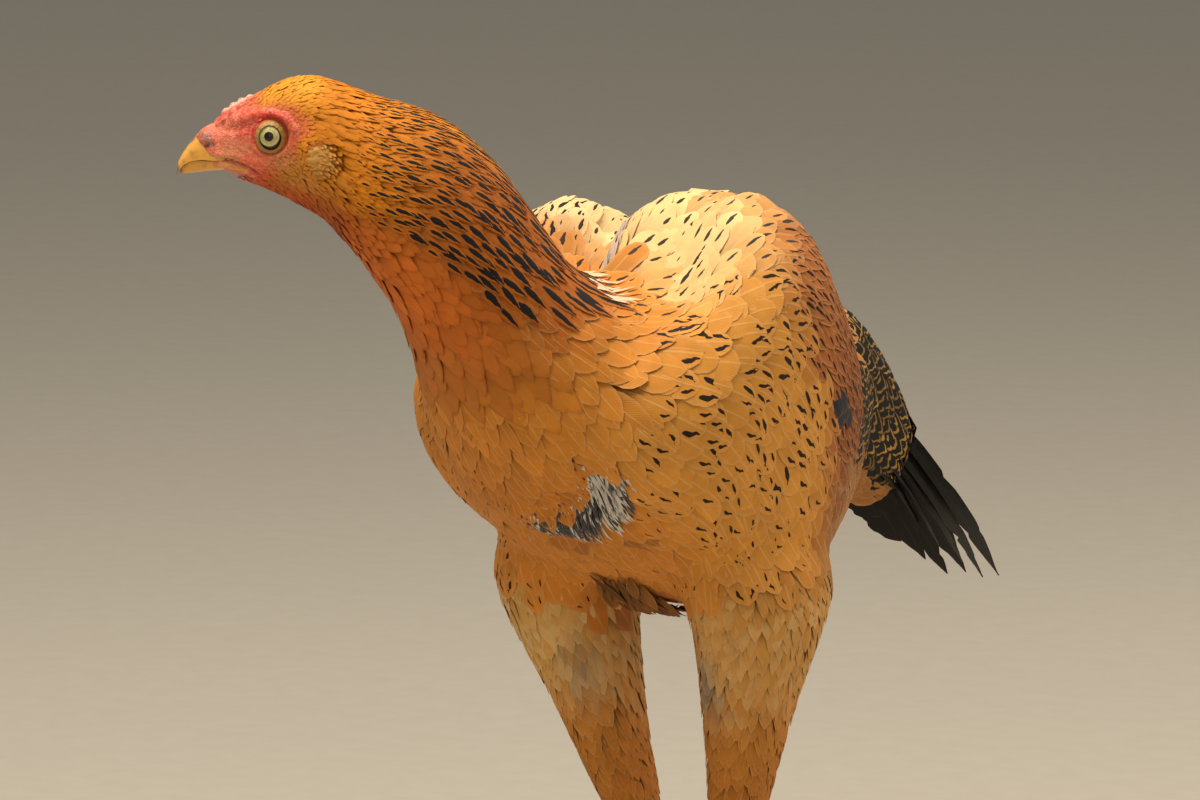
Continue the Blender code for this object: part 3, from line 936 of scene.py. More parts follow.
def plumage_tone(at: Places, rng: np.random.Generator) -> Array:
    """The ground colour of the coat at each place.

    Args:
        at: places of the body.
        rng: source of small chance changes.

    Returns:
        Linear colours.
    """
    t, a, z = at.station, at.folded, at.points[:, 2]
    count = len(t)
    tone = fill(count, "D2842B")
    tone = blend(tone, "C4751F", ease(a, -30, -75) * ease(t, 4.5, 6.2) * 0.7)
    tone = blend(tone, "DA8A2A", ease(t, 6.0, 7.2) * ease(a, 20, -20) * 0.8)
    # the flank pales towards her left shoulder
    flank = ease(t, 6.9, 6.1) * ease(t, 3.8, 4.6) * ease(a, -80, -25) * (at.side > 0)
    tone = blend(tone, "DE983B", flank * 0.85)
    neck = ease(t, 6.9, 7.6)
    tone = blend(tone, "B26010", neck)
    tone = blend(tone, "CE8030", neck * ease(t, 8.4, 7.8) * ease(a, -8, -30) * 0.6)
    tone = blend(tone, "E8962A", ease(t, 7.5, 9.0) * ease(a, 45, 80) * 0.6)
    rust = ease(t, 6.9, 9.2) * ease(a, -22, -50)
    tone = blend(tone, "D87020", rust)
    head = ease(t, 9.6, 11.4) * (1 - ease(a, -20, -40))
    tone = blend(tone, "DE8412", head)
    # the top of the crown is paler gold, partly its own colour and partly painted highlight where the light
    # falls
    tone = blend(tone, "EFA028", ease(t, 12.0, 13.6) * ease(a, 10, 60))
    tone = blend(tone, "B95410", ease(t, 11.0, 12.0) * ease(a, -28, -50))
    # back, rump and saddle
    back = ease(t, 6.6, 5.8) * ease(a, 20, 50) * at.is_(Part.TRUNK, Part.TAIL, Part.WING)
    tone = blend(tone, "E6B45C", back * 0.8)
    tone = blend(tone, "B97430", back * ease(t, 4.6, 3.2) * 0.8)
    # humps of the shoulders
    hump = ease(t, 4.2, 4.7) * ease(t, 6.7, 6.2) * ease(a, 22, 48)
    tone = blend(tone, "F3D08C", hump * 0.95)
    tone = blend(tone, "EBC992", hump * (at.side < 0) * 0.6)
    low = np.where(at.side < 0, 5.5, 6.1)
    saddle = ease(t, low, low + 0.45) * ease(t, 7.2, 6.9) * ease(a - 16 * (at.side > 0), 44, 58)
    tone = blend(tone, "D28228", saddle * 0.95)
    # wings
    wing = at.is_(Part.WING)
    front = bow_front(a)
    bow = wing * ease(t, front + 0.3, front - 0.15) * ease(a, 64, 50)
    verge = wing * (at.side > 0) * ease(t, front + 0.8, front + 0.1) * ease(a, 16, 38)
    tone = blend(tone, "CE8436", verge * 0.8)
    tone = blend(tone, "B4682A", bow)
    tone = blend(tone, "864217", bow * ease(t, 4.9, 4.2) * ease(a, 44, 16) * 0.7)
    tone = blend(tone, "B97E3C", wing * ease(t, 4.3, 4.0) * ease(a, 2, -6))
    # thighs and belly
    thigh = at.is_(Part.THIGH)
    tone = blend(tone, "C57E2C", thigh * 1.0)
    pale = thigh * ease(z, 185, 215) * ease(z, 258, 240)
    tone = blend(tone, "D8A552", pale * np.where(at.side < 0, 0.7, 0.4))
    tone = blend(tone, "BB7224", thigh * ease(z, 185, 150) * 0.8)
    belly = ease(t, 4.75, 4.35) * ease(a, -74, -84) * at.is_(Part.TRUNK)
    tone = blend(tone, "96531F", belly * 0.8)
    tone = blend(tone, "7E4C22", CREASE.near(at.points) * 0.75)
    vent = at.is_(Part.TRUNK, Part.TAIL) * ease(t, 3.4, 2.4) * ease(a, -10, -50)
    tone = blend(tone, "A8703A", vent * 0.85)
    # head
    ring = ear_ring(at)
    tone = blend(tone, "CB9650", ease(ring, 1.02, 0.9) * 0.9)
    behind = ease(at.height - at.ahead, 4.0, 20.0)
    tone = blend(tone, "8A4518", np.exp(-(((ring - 1.1) / 0.14) ** 2)) * (0.1 + 0.5 * behind))
    cheek = np.exp(-(((at.ahead + 12) / 12) ** 2) - ((at.height + 13) / 8) ** 2)
    tone = blend(tone, "DC9440", cheek * at.is_(Part.HEAD, Part.EAR) * 0.8)
    jaw = at.is_(Part.HEAD) * ease(at.height, -15, -22) * ease(at.ahead, -22, -8)
    tone = blend(tone, "C95A1C", jaw * 0.8)
    edge = 0.7 * (ease(at.face, -5.0, 0.5) * at.is_(Part.HEAD))[:, None]
    tone = tone * (1 - edge) + face_tone(at) * edge
    return tone * (1 + rng.normal(0, 0.045, count))[:, None]


FACE_PAINT = (
    # ahead, height, reach ahead, reach up, colour, share
    (8, 4.5, 6, 4, "C4301F", 0.85),
    (0, 10.6, 11, 2.6, "D8331F", 0.9),
    (-12, 3, 3.5, 7, "D9603A", 0.75),
    (19, 8, 6, 4, "E88B6C", 0.75),
    (9, 14, 7, 4, "DD5C44", 0.6),
    (13, -4, 8, 4.5, "E9936A", 0.85),
    (1, -12.5, 7, 5, "E4452E", 0.85),
    (-7, -9, 8, 5, "E29A5E", 0.9),
    (13, -13.5, 9, 2.5, "DE7C4E", 0.7),
    (2, -5.5, 5, 2.5, "E07A55", 0.6),
    # painted light: a lighter red patch on the cheek below the eye, which faces down into shade
    (6, -9, 6, 4, "FA6A48", 0.7),
)


def near_line(at: Places, line: Line, wide: float) -> Array:
    """Closeness to a line on the side of the head, ahead and up in mm, from 1 on it to 0 far from it."""
    near = line_distance(np.stack([at.ahead, at.height], 1), np.array(line, float))
    return np.exp(-((near / wide) ** 2)) * (np.abs(at.out) > 1.0)


# the line of the mouth on the side of the face
GAPE = ((30, -8.7), (22, -7.8), (14.5, -8.3), (10.5, -10.0), (6.9, -11.8), (4.8, -13.2))


RIDGES = (
    # rise in mm, or depth where it is negative, width, and the line: brow, lore, mouth, lips and cheek
    (1.1, 2.2, ((13, 8.5), (5, 10.8), (-2, 11.4), (-8, 9.6), (-12, 5.5))),
    (-0.8, 1.6, ((16, 4.2), (9, 5.2), (5, 7.5))),
    (-1.25, 0.8, GAPE),
    (0.6, 1.2, ((20, -6.0), (13, -6.0), (6, -9.0))),
    (0.7, 1.5, ((19, -10.8), (12, -11.6), (6, -14.6))),
    (-0.55, 0.9, ((7, -3.0), (3, -6.6), (-4, -8.2), (-10, -5.0))),
    (-0.45, 1.2, ((-12.5, 8), (-15, 2), (-13.5, -4))),
)


def face_tone(at: Places) -> Array:
    """The colours of the bare skin: blood-red brow, pink lores and an ochre cheek.

    Args:
        at: places of the body.

    Returns:
        Linear colours.
    """
    tone = fill(len(at.points), "DB6648")
    for ahead, height, wide, tall, colour, share in FACE_PAINT:
        reach = ((at.ahead - ahead) / wide) ** 2 + ((at.height - height) / tall) ** 2
        tone = blend(tone, colour, np.exp(-reach) * share)
    tone = blend(tone, "E5A552", near_line(at, ((26, -10.3), (16, -10.4), (9.5, -12.6)), 1.5) * 0.8)
    tone = blend(tone, "EBB271", near_line(at, ((26, -6.6), (17, -6.8), (12, -8.0)), 0.8) * 0.6)
    # painted shade: a dark line in the crease of the mouth
    tone = blend(tone, "6E3420", near_line(at, GAPE, 0.42) * 0.85)
    comb = at.is_(Part.COMB)
    tone = blend(tone, "D9543C", comb * 0.8)
    crust = comb * ease(at.height - np.interp(at.ahead, (4, 27), (17.5, 4.6)), 0.5, 1.8)
    grains = np.sin(at.points[:, 0] * 3.1) * np.sin(at.height * 4.3) > -0.5
    tone = blend(tone, "EBCFBE", crust * 0.85 * grains)
    knob = np.exp(-(((at.ahead - NOSTRIL) / 2.3) ** 4) - ((at.height - 0.2) / 2.1) ** 4)
    tone = blend(tone, "946A58", knob * 0.85)
    # painted shade: the dark slit of the nostril opening under the knob
    sunk = at.height + 2.4 - (23.4 - at.ahead) * 0.35
    slit = np.exp(-(((at.ahead - 23.4) / 3.0) ** 4) - (sunk / 0.75) ** 2)
    return blend(tone * 1.14, "2E1510", slit * 0.9)


def skin_tone(at: Places, rng: np.random.Generator) -> Array:
    """The colour of the skin: as the coat over it, bare on the face, and yellow on the legs.

    Args:
        at: places of the body.
        rng: source of small chance changes.

    Returns:
        Linear colours.
    """
    # under the coat the skin is darkened to 0.72: painted shade under the feathers
    tone = plumage_tone(at, rng) * 0.72
    share = ease(at.face, -3.0, 2.0)[:, None]
    tone = tone * (1 - share) + face_tone(at) * share
    ring = ear_ring(at)
    tone = blend(tone, "D29C50", ease(ring, 1.08, 0.95))
    tone = blend(tone, "6A3314", np.exp(-(((ring - 1.08) / 0.1) ** 2)) * 0.7)
    legs = at.is_(Part.SHANK, Part.TOE)
    tone = blend(tone, "C39A4C", legs * 1.0)
    black = at.is_(Part.TAIL) * ease(at.folded, -60, -30)
    return blend(tone, "231D14", black * 0.8)


def coat_depth(at: Places) -> Array:
    """How thick the coat is over the skin.

    Args:
        at: places of the body.

    Returns:
        Thicknesses in mm.
    """
    depth = np.full(len(at.points), 5.5)
    depth = np.where(at.is_(Part.NECK), 3.6, depth)
    depth = np.where(at.is_(Part.WING), 3.4, depth)
    depth = np.where(at.is_(Part.THIGH), 2.2 + 2.6 * ease(at.points[:, 2], 125, 200), depth)
    depth = np.where(at.is_(Part.TAIL), 4.5, depth)
    depth = np.where(at.is_(Part.HEAD, Part.EAR), 0.25 + 1.3 * ease(-at.face, 0.0, 16.0), depth)
    depth = np.where(at.is_(Part.COMB), 0.0, depth)
    return np.where(at.is_(Part.SHANK, Part.TOE), 0.5, depth)


# ---- the skin


def largest_shell(work: bmesh.types.BMesh) -> set[int]:
    """Finds the biggest connected piece of a mesh.

    Args:
        work: the mesh.

    Returns:
        The numbers of its corners.
    """
    seen, best = set(), []
    for seed in work.verts:
        if seed.index in seen:
            continue
        seen.add(seed.index)
        shell, stack = [], [seed]
        while stack:
            vertex = stack.pop()
            shell.append(vertex.index)
            for edge in vertex.link_edges:
                other = edge.other_vert(vertex)
                if other.index not in seen:
                    seen.add(other.index)
                    stack.append(other)
        best = max(best, shell, key=len)
    return set(best)


@dataclass
class Skin:
    """One closed skin over the whole bird, shaped from the solids of flesh."""

    bird: BirdFrame
    horn: BVHTree
    voxel: float = 2.12  # side of the faces of the merged surface, in mm
    swell: float = 0.9  # closes the gaps between solids before they are made one
    collar: Rows = (
        # forward, top, bottom and half width of the sleeve round the root of the bill
        (14.0, 9.0, -15.0, 8.5),
        (20.0, 6.6, -15.6, 8.2),
        (24.0, 5.4, -16.0, 7.4),
        (28.5, 2.6, -11.0, 6.0),
    )

    def gather(self) -> tuple[Array, Array]:
        """Copies the flesh solids and the eyes, each swollen a little.

        Returns:
            Points in metres and triangles.
        """
        points, faces, start = [], [], 0
        for name in (*FLESH, "eye_left", "eye_right"):
            work = bmesh.new()
            work.from_mesh(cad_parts[name].data)
            bmesh.ops.remove_doubles(work, verts=work.verts, dist=1e-5)
            bmesh.ops.triangulate(work, faces=work.faces)
            work.normal_update()
            shift = self.swell / 1000
            points += [tuple(v.co + v.normal * shift) for v in work.verts]
            faces += [[v.index + start for v in f.verts] for f in work.faces]
            start += len(work.verts)
            work.free()
        sleeve, triangles = self.cere()
        return np.array(points + sleeve.tolist()), np.array(faces + (triangles + start).tolist())

    def merge(self) -> Object:
        """Makes the copies one closed surface and keeps only its outside.

        Returns:
            The merged object.
        """
        points, triangles = self.gather()
        obj = make_object("skin", points, (), triangles)
        modifier = obj.modifiers.new("merge", "REMESH")
        modifier.mode, modifier.voxel_size = "VOXEL", self.voxel / 1000
        pick(obj)
        bpy.ops.object.modifier_apply(modifier=modifier.name)
        with reshaping(obj) as work:
            keep = largest_shell(work)
            bmesh.ops.delete(work, geom=[v for v in work.verts if v.index not in keep], context="VERTS")
        return obj

    def part_finder(self) -> tuple[BVHTree, Array]:
        """Makes the flesh solids searchable.

        Returns:
            A tree of them, and the part of each of its faces.
        """
        points, faces, parts, start = [], [], [], 0
        for name, part in FLESH.items():
            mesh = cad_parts[name].data
            mesh.calc_loop_triangles()
            points += [tuple(v.co) for v in mesh.vertices]
            faces += [[i + start for i in t.vertices] for t in mesh.loop_triangles]
            parts += [part.value] * len(mesh.loop_triangles)
            start += len(mesh.vertices)
        return BVHTree.FromPolygons(points, faces), np.array(parts)

    def read_places(self, points: Array) -> Places:
        """Finds where points lie on the body.

        Args:
            points: points in metres.

        Returns:
            Their places.
        """
        tree, parts = self.part_finder()
        part = np.array([parts[tree.find_nearest(Vector(p))[2]] for p in points])
        local = self.bird.to_bird(points)
        station, angle = CHART.locate(local)
        return Places(local, part, station, angle)

    def refine_head(self, obj: Object, back: float) -> None:
        """Cuts the faces of the head finer, for lids and folds.

        Args:
            obj: the skin.
            back: where it starts, in mm ahead of the eyes.
        """
        with reshaping(obj) as work:
            centres = np.array([face.calc_center_median() for face in work.faces])
            ahead, out, height = HEAD.read(self.bird.to_bird(centres))
            near = (ahead > back) & (np.abs(out) < 30) & (height > -24)
            chosen = [face for face, wanted in zip(work.faces, near) if wanted]
            edges = {edge for face in chosen for edge in face.edges}
            bmesh.ops.subdivide_edges(work, edges=list(edges), cuts=1, use_grid_fill=True)

    def build(self) -> "Body":
        """Builds the skin and the shell that the coat's tips lie on.

        Returns:
            The body: skin object, shell and the places on both.
        """
        obj = self.merge()
        mesh = obj.data
        set_points(mesh, relax(points_of(mesh), read(mesh.edges, "vertices", 2), 5))
        for back in (-22.0, -17.0):
            self.refine_head(obj, back)
            set_points(mesh, relax(points_of(mesh), read(mesh.edges, "vertices", 2), 2))
        edges = read(mesh.edges, "vertices", 2)
        outer = relax(points_of(mesh), edges, 3)
        set_points(mesh, outer)
        outer = outer - normals_of(mesh) * self.swell / 1000
        places = self.read_places(outer)
        body = places.is_(Part.TRUNK, Part.WING, Part.NECK)
        for fold in FOLDS:
            push = fold.near(places.points) * fold.rise * body
            outer = outer + unit(normals_of(mesh)) * push[:, None] / 1000
        outer = self.on_horn(outer, places)
        set_points(mesh, outer)
        normals = unit(relax(normals_of(mesh), edges, 3))
        depth = relax(coat_depth(places)[:, None], edges, 6)
        shell = Shell.of(mesh, self.bird, normals, places, edges, depth[:, 0])
        local = relax(self.bird.to_bird(outer) - normals * depth, edges, 2)
        set_points(mesh, self.bird.to_row(self.sculpt(local, normals, places)))
        tone = skin_tone(places, np.random.default_rng(SEED))
        set_tone(mesh, np.clip(relax(tone, edges, 1), 0, 1))
        shell.unwrap = self.unwrap(obj)
        self.dress(mesh, places)
        finish_piece(obj, "plumage", *FLESH)
        return Body(self.bird, obj, shell)

    def on_horn(self, outer: Array, at: Places) -> Array:
        """Lays the skin over the root of the bill and lets it end in a slanting line on the horn.

        Args:
            outer: points in metres.
            at: places of the points.

        Returns:
            The moved points.
        """
        outer = outer.copy()
        for index in np.flatnonzero((at.ahead > ON_HORN) & at.is_(Part.HEAD, Part.COMB)):
            place = at.points[index]
            hit, normal, _, _ = self.horn.find_nearest(Vector(place))
            # the skin's edge lies 22.4 mm ahead under the mouth and 28.3 mm ahead at the eye line
            line = 22.4 + 5.9 * min(max((place[2] - HEAD_EYE[2] + 7.5) / 7.5, 0), 1)
            over = 0.5 * min(max((line - at.ahead[index]) / 0.5, -2.0), 1)
            goal = np.array(hit) + np.array(normal) * over
            share = min(max((at.ahead[index] - ON_HORN) / 4.5, 0), 1) * (at.part[index] != Part.COMB.value)
            outer[index] = self.bird.to_row(place + (goal - place) * share)
        return outer

    def cere(self) -> tuple[Array, Array]:
        """A sleeve round the root of the bill that becomes part of the skin.

        Returns:
            Points in metres and triangles.
        """
        rings = []
        turn = np.linspace(0, 2 * math.pi, 24, endpoint=False)
        for forward, top, bottom, half in self.collar:
            middle, reach = (top + bottom) / 2, (top - bottom) / 2
            across, height = half * np.cos(turn), middle + reach * np.sin(turn)
            rings.append([HEAD.place(forward, x, z) for x, z in zip(across, height)])
        obj = loft(self.bird, "cere", np.array(rings))
        obj.data.calc_loop_triangles()
        points = points_of(obj.data)
        triangles = np.array([list(t.vertices) for t in obj.data.loop_triangles])
        bpy.data.objects.remove(obj)
        return points, triangles

    def sculpt(self, local: Array, normals: Array, at: Places) -> Array:
        """Works the folds, brow, mouth line, comb and eye openings into the head.

        Args:
            local: points in millimetres.
            normals: smooth normals.
            at: places of the points.

        Returns:
            The moved points.
        """
        ahead, out, height = at.ahead, np.abs(at.out), at.height
        head = at.is_(Part.HEAD, Part.COMB, Part.EAR) & (out > 1.0)
        move = np.zeros(len(local))
        for rise, wide, line in RIDGES:
            move += rise * (near_line(at, line, wide) * head)
        move -= 1.3 * ease(height, -10.5, -13.5) * ease(ahead, 2, 12) * at.is_(Part.HEAD)
        ring = ear_ring(at)
        ripple = np.sin(height * 1.7 + 0.8 * np.sin(ahead * 1.3))
        move += 1.0 * ease(ring, 1.05, 0.55) + 0.25 * ripple * (ring < 0.9)
        move -= 0.7 * np.exp(-(((ring - 1.12) / 0.12) ** 2))
        wrinkle = np.sin(ahead * 1.9 + np.sin(height * 0.9) * 1.6) * np.sin(height * 1.7 + ahead * 0.5)
        move += 0.06 * wrinkle * ease(at.face, -2, 3) * head
        move += 0.85 * np.exp(-(((ahead - NOSTRIL) / 2.3) ** 4) - ((height - 0.3) / 2.0) ** 4) * head
        comb = at.is_(Part.COMB)
        beads = np.abs(np.sin(ahead * 0.95 + 0.6)) * (0.6 + 0.4 * np.cos(at.out * 1.3))
        move += comb * (0.9 * beads - 0.3)
        local = local + normals * move[:, None]
        # round each eye the skin hugs the ball, and inside the lids it sinks 3.2 mm behind its surface
        for word in SIDES:
            centre, axis, radius = eye_place(self.bird, word)
            depth, wide = along_axis(local, centre, axis)
            near = (wide < 9.5) & (depth > 0)
            seat = np.sqrt(np.clip((radius + 0.15) ** 2 - wide**2, 0.5, None))
            goal = seat - 3.2 * ease(wide, 6.1, 5.1)
            share = near * ease(wide, 8.6, 6.2)
            local = local + axis * ((goal - depth) * share)[:, None]
        return local

    def unwrap(self, obj: Object) -> Array:
        """Unwraps the skin for the bake.

        Args:
            obj: the skin.

        Returns:
            The place of each face's middle on the map.
        """
        pick(obj)
        mesh = obj.data
        mesh.uv_layers.new(name="OFBake")
        bpy.ops.object.mode_set(mode="EDIT")
        bpy.ops.mesh.select_all(action="SELECT")
        bpy.ops.uv.smart_project(angle_limit=math.radians(72), island_margin=0.002)
        bpy.ops.object.mode_set(mode="OBJECT")
        places = read(mesh.uv_layers["OFBake"].uv, "vector", 2, np.float32)
        starts = read(mesh.polygons, "loop_start")
        return (places[starts] + places[starts + 2]) / 2

    def dress(self, mesh: Mesh, at: Places) -> None:
        """Gives plumed skin, bare skin and leg skin their finishes.

        Args:
            mesh: the skin.
            at: places of its corners.
        """
        for finish in (
            SkinFinish("skin_under_plumage", 0.75, 2.0, 0.15),
            SkinFinish("bare_face_skin_pebbled", 0.5, 0.9, 0.5, 0.12, 0.35, 0.42),
            SkinFinish("leg_skin_scaled", 0.45, 1.6, 0.5),
        ):
            mesh.materials.append(finish.make())
        kind = np.zeros(len(at.points), np.int32)
        kind[(at.face > -4) | at.is_(Part.COMB)] = 1
        kind[at.is_(Part.SHANK, Part.TOE)] = 2
        first = read(mesh.loops, "vertex_index")[read(mesh.polygons, "loop_start")]
        mesh.polygons.foreach_set("material_index", kind[first])
        mesh.polygons.foreach_set("use_smooth", np.ones(len(mesh.polygons), bool))
        mesh.update()


def eye_place(bird: BirdFrame, word: str) -> tuple[Array, Array, float]:
    """Where an eyeball sits.

    Args:
        bird: the bird's frame.
        word: left or right.

    Returns:
        Its middle, the way that it looks and its radius, in millimetres.
    """
    lo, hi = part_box(f"eye_{word}")
    centre = bird.to_bird(np.array((lo + hi) / 2))
    axis = unit(HEAD.left * SIDES[word] + HEAD.ahead * 0.10)
    return centre, axis, (hi.z - lo.z) * 500


def along_axis(points: Array, centre: Array, axis: Array) -> tuple[Array, Array]:
    """Places points against a line.

    Args:
        points: the points.
        centre: a point of the line.
        axis: its direction.

    Returns:
        How far along the line each point lies from the centre, and how far from the line.
    """
    away = points - centre
    depth = away @ axis
    return depth, np.linalg.norm(away - depth[:, None] * axis, axis=1)


@dataclass
class Shell:
    """The surface that the tips of the coat lie on, with the lie of the feathers on each face."""

    tree: BVHTree
    normals: Array
    flow: Array
    places: Places
    depth: Array
    unwrap: Array | None = None

    @classmethod
    def of(
        cls,
        mesh: Mesh,
        bird: BirdFrame,
        normals: Array,
        places: Places,
        edges: Array,
        depth: Array,
    ) -> "Shell":
        """Reads the shell from a mesh of quads.

        Args:
            mesh: the outer surface.
            bird: the bird's frame.
            normals: smooth normals of its corners.
            places: places of its corners.
            edges: its edges.
            depth: how thick the coat is at its corners.

        Returns:
            The shell.
        """
        local = bird.to_bird(points_of(mesh))
        polygons = [tuple(p.vertices) for p in mesh.polygons]
        flow = relax(unit(level_with(cls.lie(places), normals)), edges, 10)
        first, third = (np.array([p[corner] for p in polygons]) for corner in (0, 2))
        face_normals = unit(normals[first] + normals[third])
        face_flow = unit(level_with(flow[first] + flow[third], face_normals))
        middle = places.take(first, (local[first] + local[third]) / 2)
        tree = BVHTree.FromPolygons([tuple(p) for p in local], polygons)
        return cls(tree, face_normals, face_flow, middle, depth[first])

    @staticmethod
    def lie(at: Places) -> Array:
        """The way the coat lies: towards the tail, down the legs and out along the toes.

        Args:
            at: places of the body.

        Returns:
            A direction for each place.
        """
        flow = CHART.tailward(at.station, at.angle)
        down = np.array([0.0, 0.0, -1.0])
        flow = flow + at.is_(Part.TRUNK)[:, None] * down * 0.18
        outer = ease(at.folded, 62, 40) * ease(at.station, 5.9, 5.2) * at.is_(Part.WING)
        flow = flow + outer[:, None] * down * 0.55
        x, y, z = at.points.T
        leg = np.stack([np.where(x > 0, -0.28, 0.28), 0.22 * np.ones_like(x), -np.ones_like(x)], 1)
        flow = np.where(at.is_(Part.THIGH)[:, None], leg, flow)
        flow = np.where(at.is_(Part.SHANK)[:, None], down + 0 * flow, flow)
        foot = np.stack([x - np.where(x > 0, 35.5, -35.5), y - 12.5, -0.25 * z], 1)
        flow = np.where(at.is_(Part.TOE)[:, None], unit(foot), flow)
        return unit(flow)

    def settle(self, points: Array) -> tuple[Array, Array]:
        """The nearest places of the shell to points in mm, and the faces that they lie on."""
        found = [self.tree.find_nearest(Vector(p)) for p in points]
        return np.array([hit[0] for hit in found], float).reshape(-1, 3), np.array([hit[2] for hit in found])


@dataclass
class Body:
    """The finished skin with the shell round it."""

    bird: BirdFrame
    skin: Object
    shell: Shell


# ---- feathers


class Outline(Enum):
    """The outline of a vane, as half widths along its length."""

    ROUND = ((0, 0.22), (0.12, 0.5), (0.35, 0.88), (0.6, 1.0), (0.8, 0.88), (0.93, 0.52), (1.0, 0.0))
    SOFT = ((0, 0.22), (0.15, 0.55), (0.4, 0.93), (0.6, 1.0), (0.78, 0.83), (0.92, 0.44), (1.0, 0.0))
    LANCE = ((0, 0.25), (0.15, 0.6), (0.4, 1.0), (0.62, 0.92), (0.82, 0.58), (0.94, 0.24), (1.0, 0.0))
    BLUNT = ((0, 0.5), (0.1, 0.75), (0.3, 0.95), (0.6, 1.0), (0.85, 0.9), (0.96, 0.6), (1.0, 0.0))
    WISP = ((0, 0.3), (0.25, 0.8), (0.5, 1.0), (0.75, 0.6), (1.0, 0.0))
    PLATE = ((0, 0.6), (0.12, 0.9), (0.5, 1.0), (0.88, 0.85), (1.0, 0.0))


BEND = 0.65  # how quickly a vane takes up the slope of the coat under it
STEER = 0.2  # how quickly it takes up the lie of the coat
SINK, RISE = -0.55, 0.2  # how far its edges may give way, as shares of half its width


@dataclass
class Feathers:
    """Feathers of one make: where they grow, how big they are and how they are marked."""

    name: str
    finish: Finish
    outline: Outline = Outline.ROUND
    thick: float = 0.35  # of the vane at its root, in mm
    arch: float = 0.03  # how much the edges droop, as a share of the width
    lift: float = 0.15  # of the tips over the shell, in mm
    curl: float = 2.8  # how soon a feather comes up out of the coat
    sway: float = 0.09  # chance turning of the lie
    slot: str = "plumage"
    roll: float = 0.03  # chance tilt from edge to edge, as a share of the width

    def grow(self, body: Body, seed: "Roots") -> Object:
        """Grows the feathers from their roots as one joined mesh.

        Args:
            body: the body that they grow on.
            seed: the roots with their sizes and tones.

        Returns:
            The piece.
        """
        shell, count = body.shell, len(seed.points)
        shares, widths = (np.array(column) for column in zip(*self.outline.value))
        rings = len(shares) - 1
        rng = np.random.default_rng(SEED + len(self.name) * 7 + count)
        spot, face = shell.settle(seed.points)
        normal = shell.normals[face]
        way = shell.flow[face] if seed.way is None else seed.way
        turn = rng.normal(0, self.sway, count)[:, None]
        way = unit(way + np.cross(normal, way) * turn)
        uneven = 0.07 if self.thick < 0.45 else 0.02  # soft vanes lie less evenly than stiff ones
        offset = rng.normal(0, uneven, count) + self.lift
        roll = rng.normal(0, self.roll, count)
        grid = np.zeros((count, rings * 4 + 1, 3))
        before = 0.0
        for ring, (share, width) in enumerate(zip(shares, widths)):
            step = (share - before) * seed.length
            before = share
            if step.max() > 0:
                spot, face = shell.settle(spot + way * step[:, None])
                normal = unit(normal * (1 - BEND) + shell.normals[face] * BEND)
                way = unit(level_with(way * (1 - STEER) + shell.flow[face] * STEER, normal))
            height = offset - seed.depth * (1 - share) ** self.curl
            middle = spot + normal * height[:, None]
            if ring == rings:
                grid[:, -1] = middle
                break
            across = np.cross(normal, way)
            half = (seed.width / 2 * width)[:, None]
            droop = normal * (seed.width * self.arch * width)[:, None]
            tilt = normal * (roll * seed.width / 2)[:, None]
            thick = normal * (self.thick / 2 * (1 - 0.5 * share))
            for column, side in ((0, 1), (2, -1)):
                rim = spot + across * half * side
                low, _ = shell.settle(rim)
                drop = ((low - spot) * normal).sum(1, keepdims=True)
                drop = np.clip(drop, SINK * half, RISE * half)
                grid[:, ring * 4 + column] = rim + normal * (drop + height[:, None]) - droop + tilt * side
            grid[:, ring * 4 + 1] = middle + thick
            grid[:, ring * 4 + 3] = middle - thick
        return self.mesh(body, seed, grid, shares, widths)

    def mesh(
        self, body: Body, seed: "Roots", grid: Array, shares: Array, widths: Array
    ) -> Object:
        """Joins the feathers into one mesh with its maps, tones and marks.

        Args:
            body: the body that they grow on.
            seed: their roots.
            grid: the corners of each feather, four to a ring and one at the tip, in mm.
            shares: how far along the feather each ring lies.
            widths: how wide it is there, as a share of its greatest width.

        Returns:
            The piece.
        """
        count, size = grid.shape[:2]
        rings = (size - 1) // 4
        quads, triangles = [[3, 2, 1, 0]], []
        for start in range(0, rings * 4, 4):
            for near, after in ((start + column, start + (column + 1) % 4) for column in range(4)):
                if start + 4 < rings * 4:
                    quads.append([near, after, after + 4, near + 4])
                else:
                    triangles.append([near, after, size - 1])
        base = (np.arange(count) * size)[:, None, None]
        points = body.bird.to_row(grid.reshape(-1, 3))
        obj = make_object(self.name, points, np.array(quads) + base, np.array(triangles) + base)
        mesh = obj.data
        u = np.append(np.tile([0.0, 0.5, 1.0, 0.5], rings), 0.5)
        v = np.append(np.repeat(shares[:-1], 4), 1.0)
        set_uv(mesh, "Vane", np.tile(np.stack([u, v], 1), (count, 1)))
        spread = np.append(np.repeat(widths[:-1], 4), 0.0)
        patch = np.stack([(u - 0.5) * spread, v - 0.5], 1) * PATCH
        set_patch(mesh, (seed.patch[:, None] + patch[None]).reshape(-1, 2))
        set_tone(mesh, np.clip(np.repeat(seed.tone, size, axis=0), 0, 1))
        set_mark(mesh, np.repeat(seed.mark, size))
        finish_piece(obj, self.slot, finish=self.finish.make(), smooth=62)
        return obj


@dataclass
class Roots:
    """Roots of feathers with the size, tone and mark of each."""

    points: Array
    length: Array
    width: Array
    depth: Array
    tone: Array
    mark: Array
    patch: Array
    way: Array | None = None


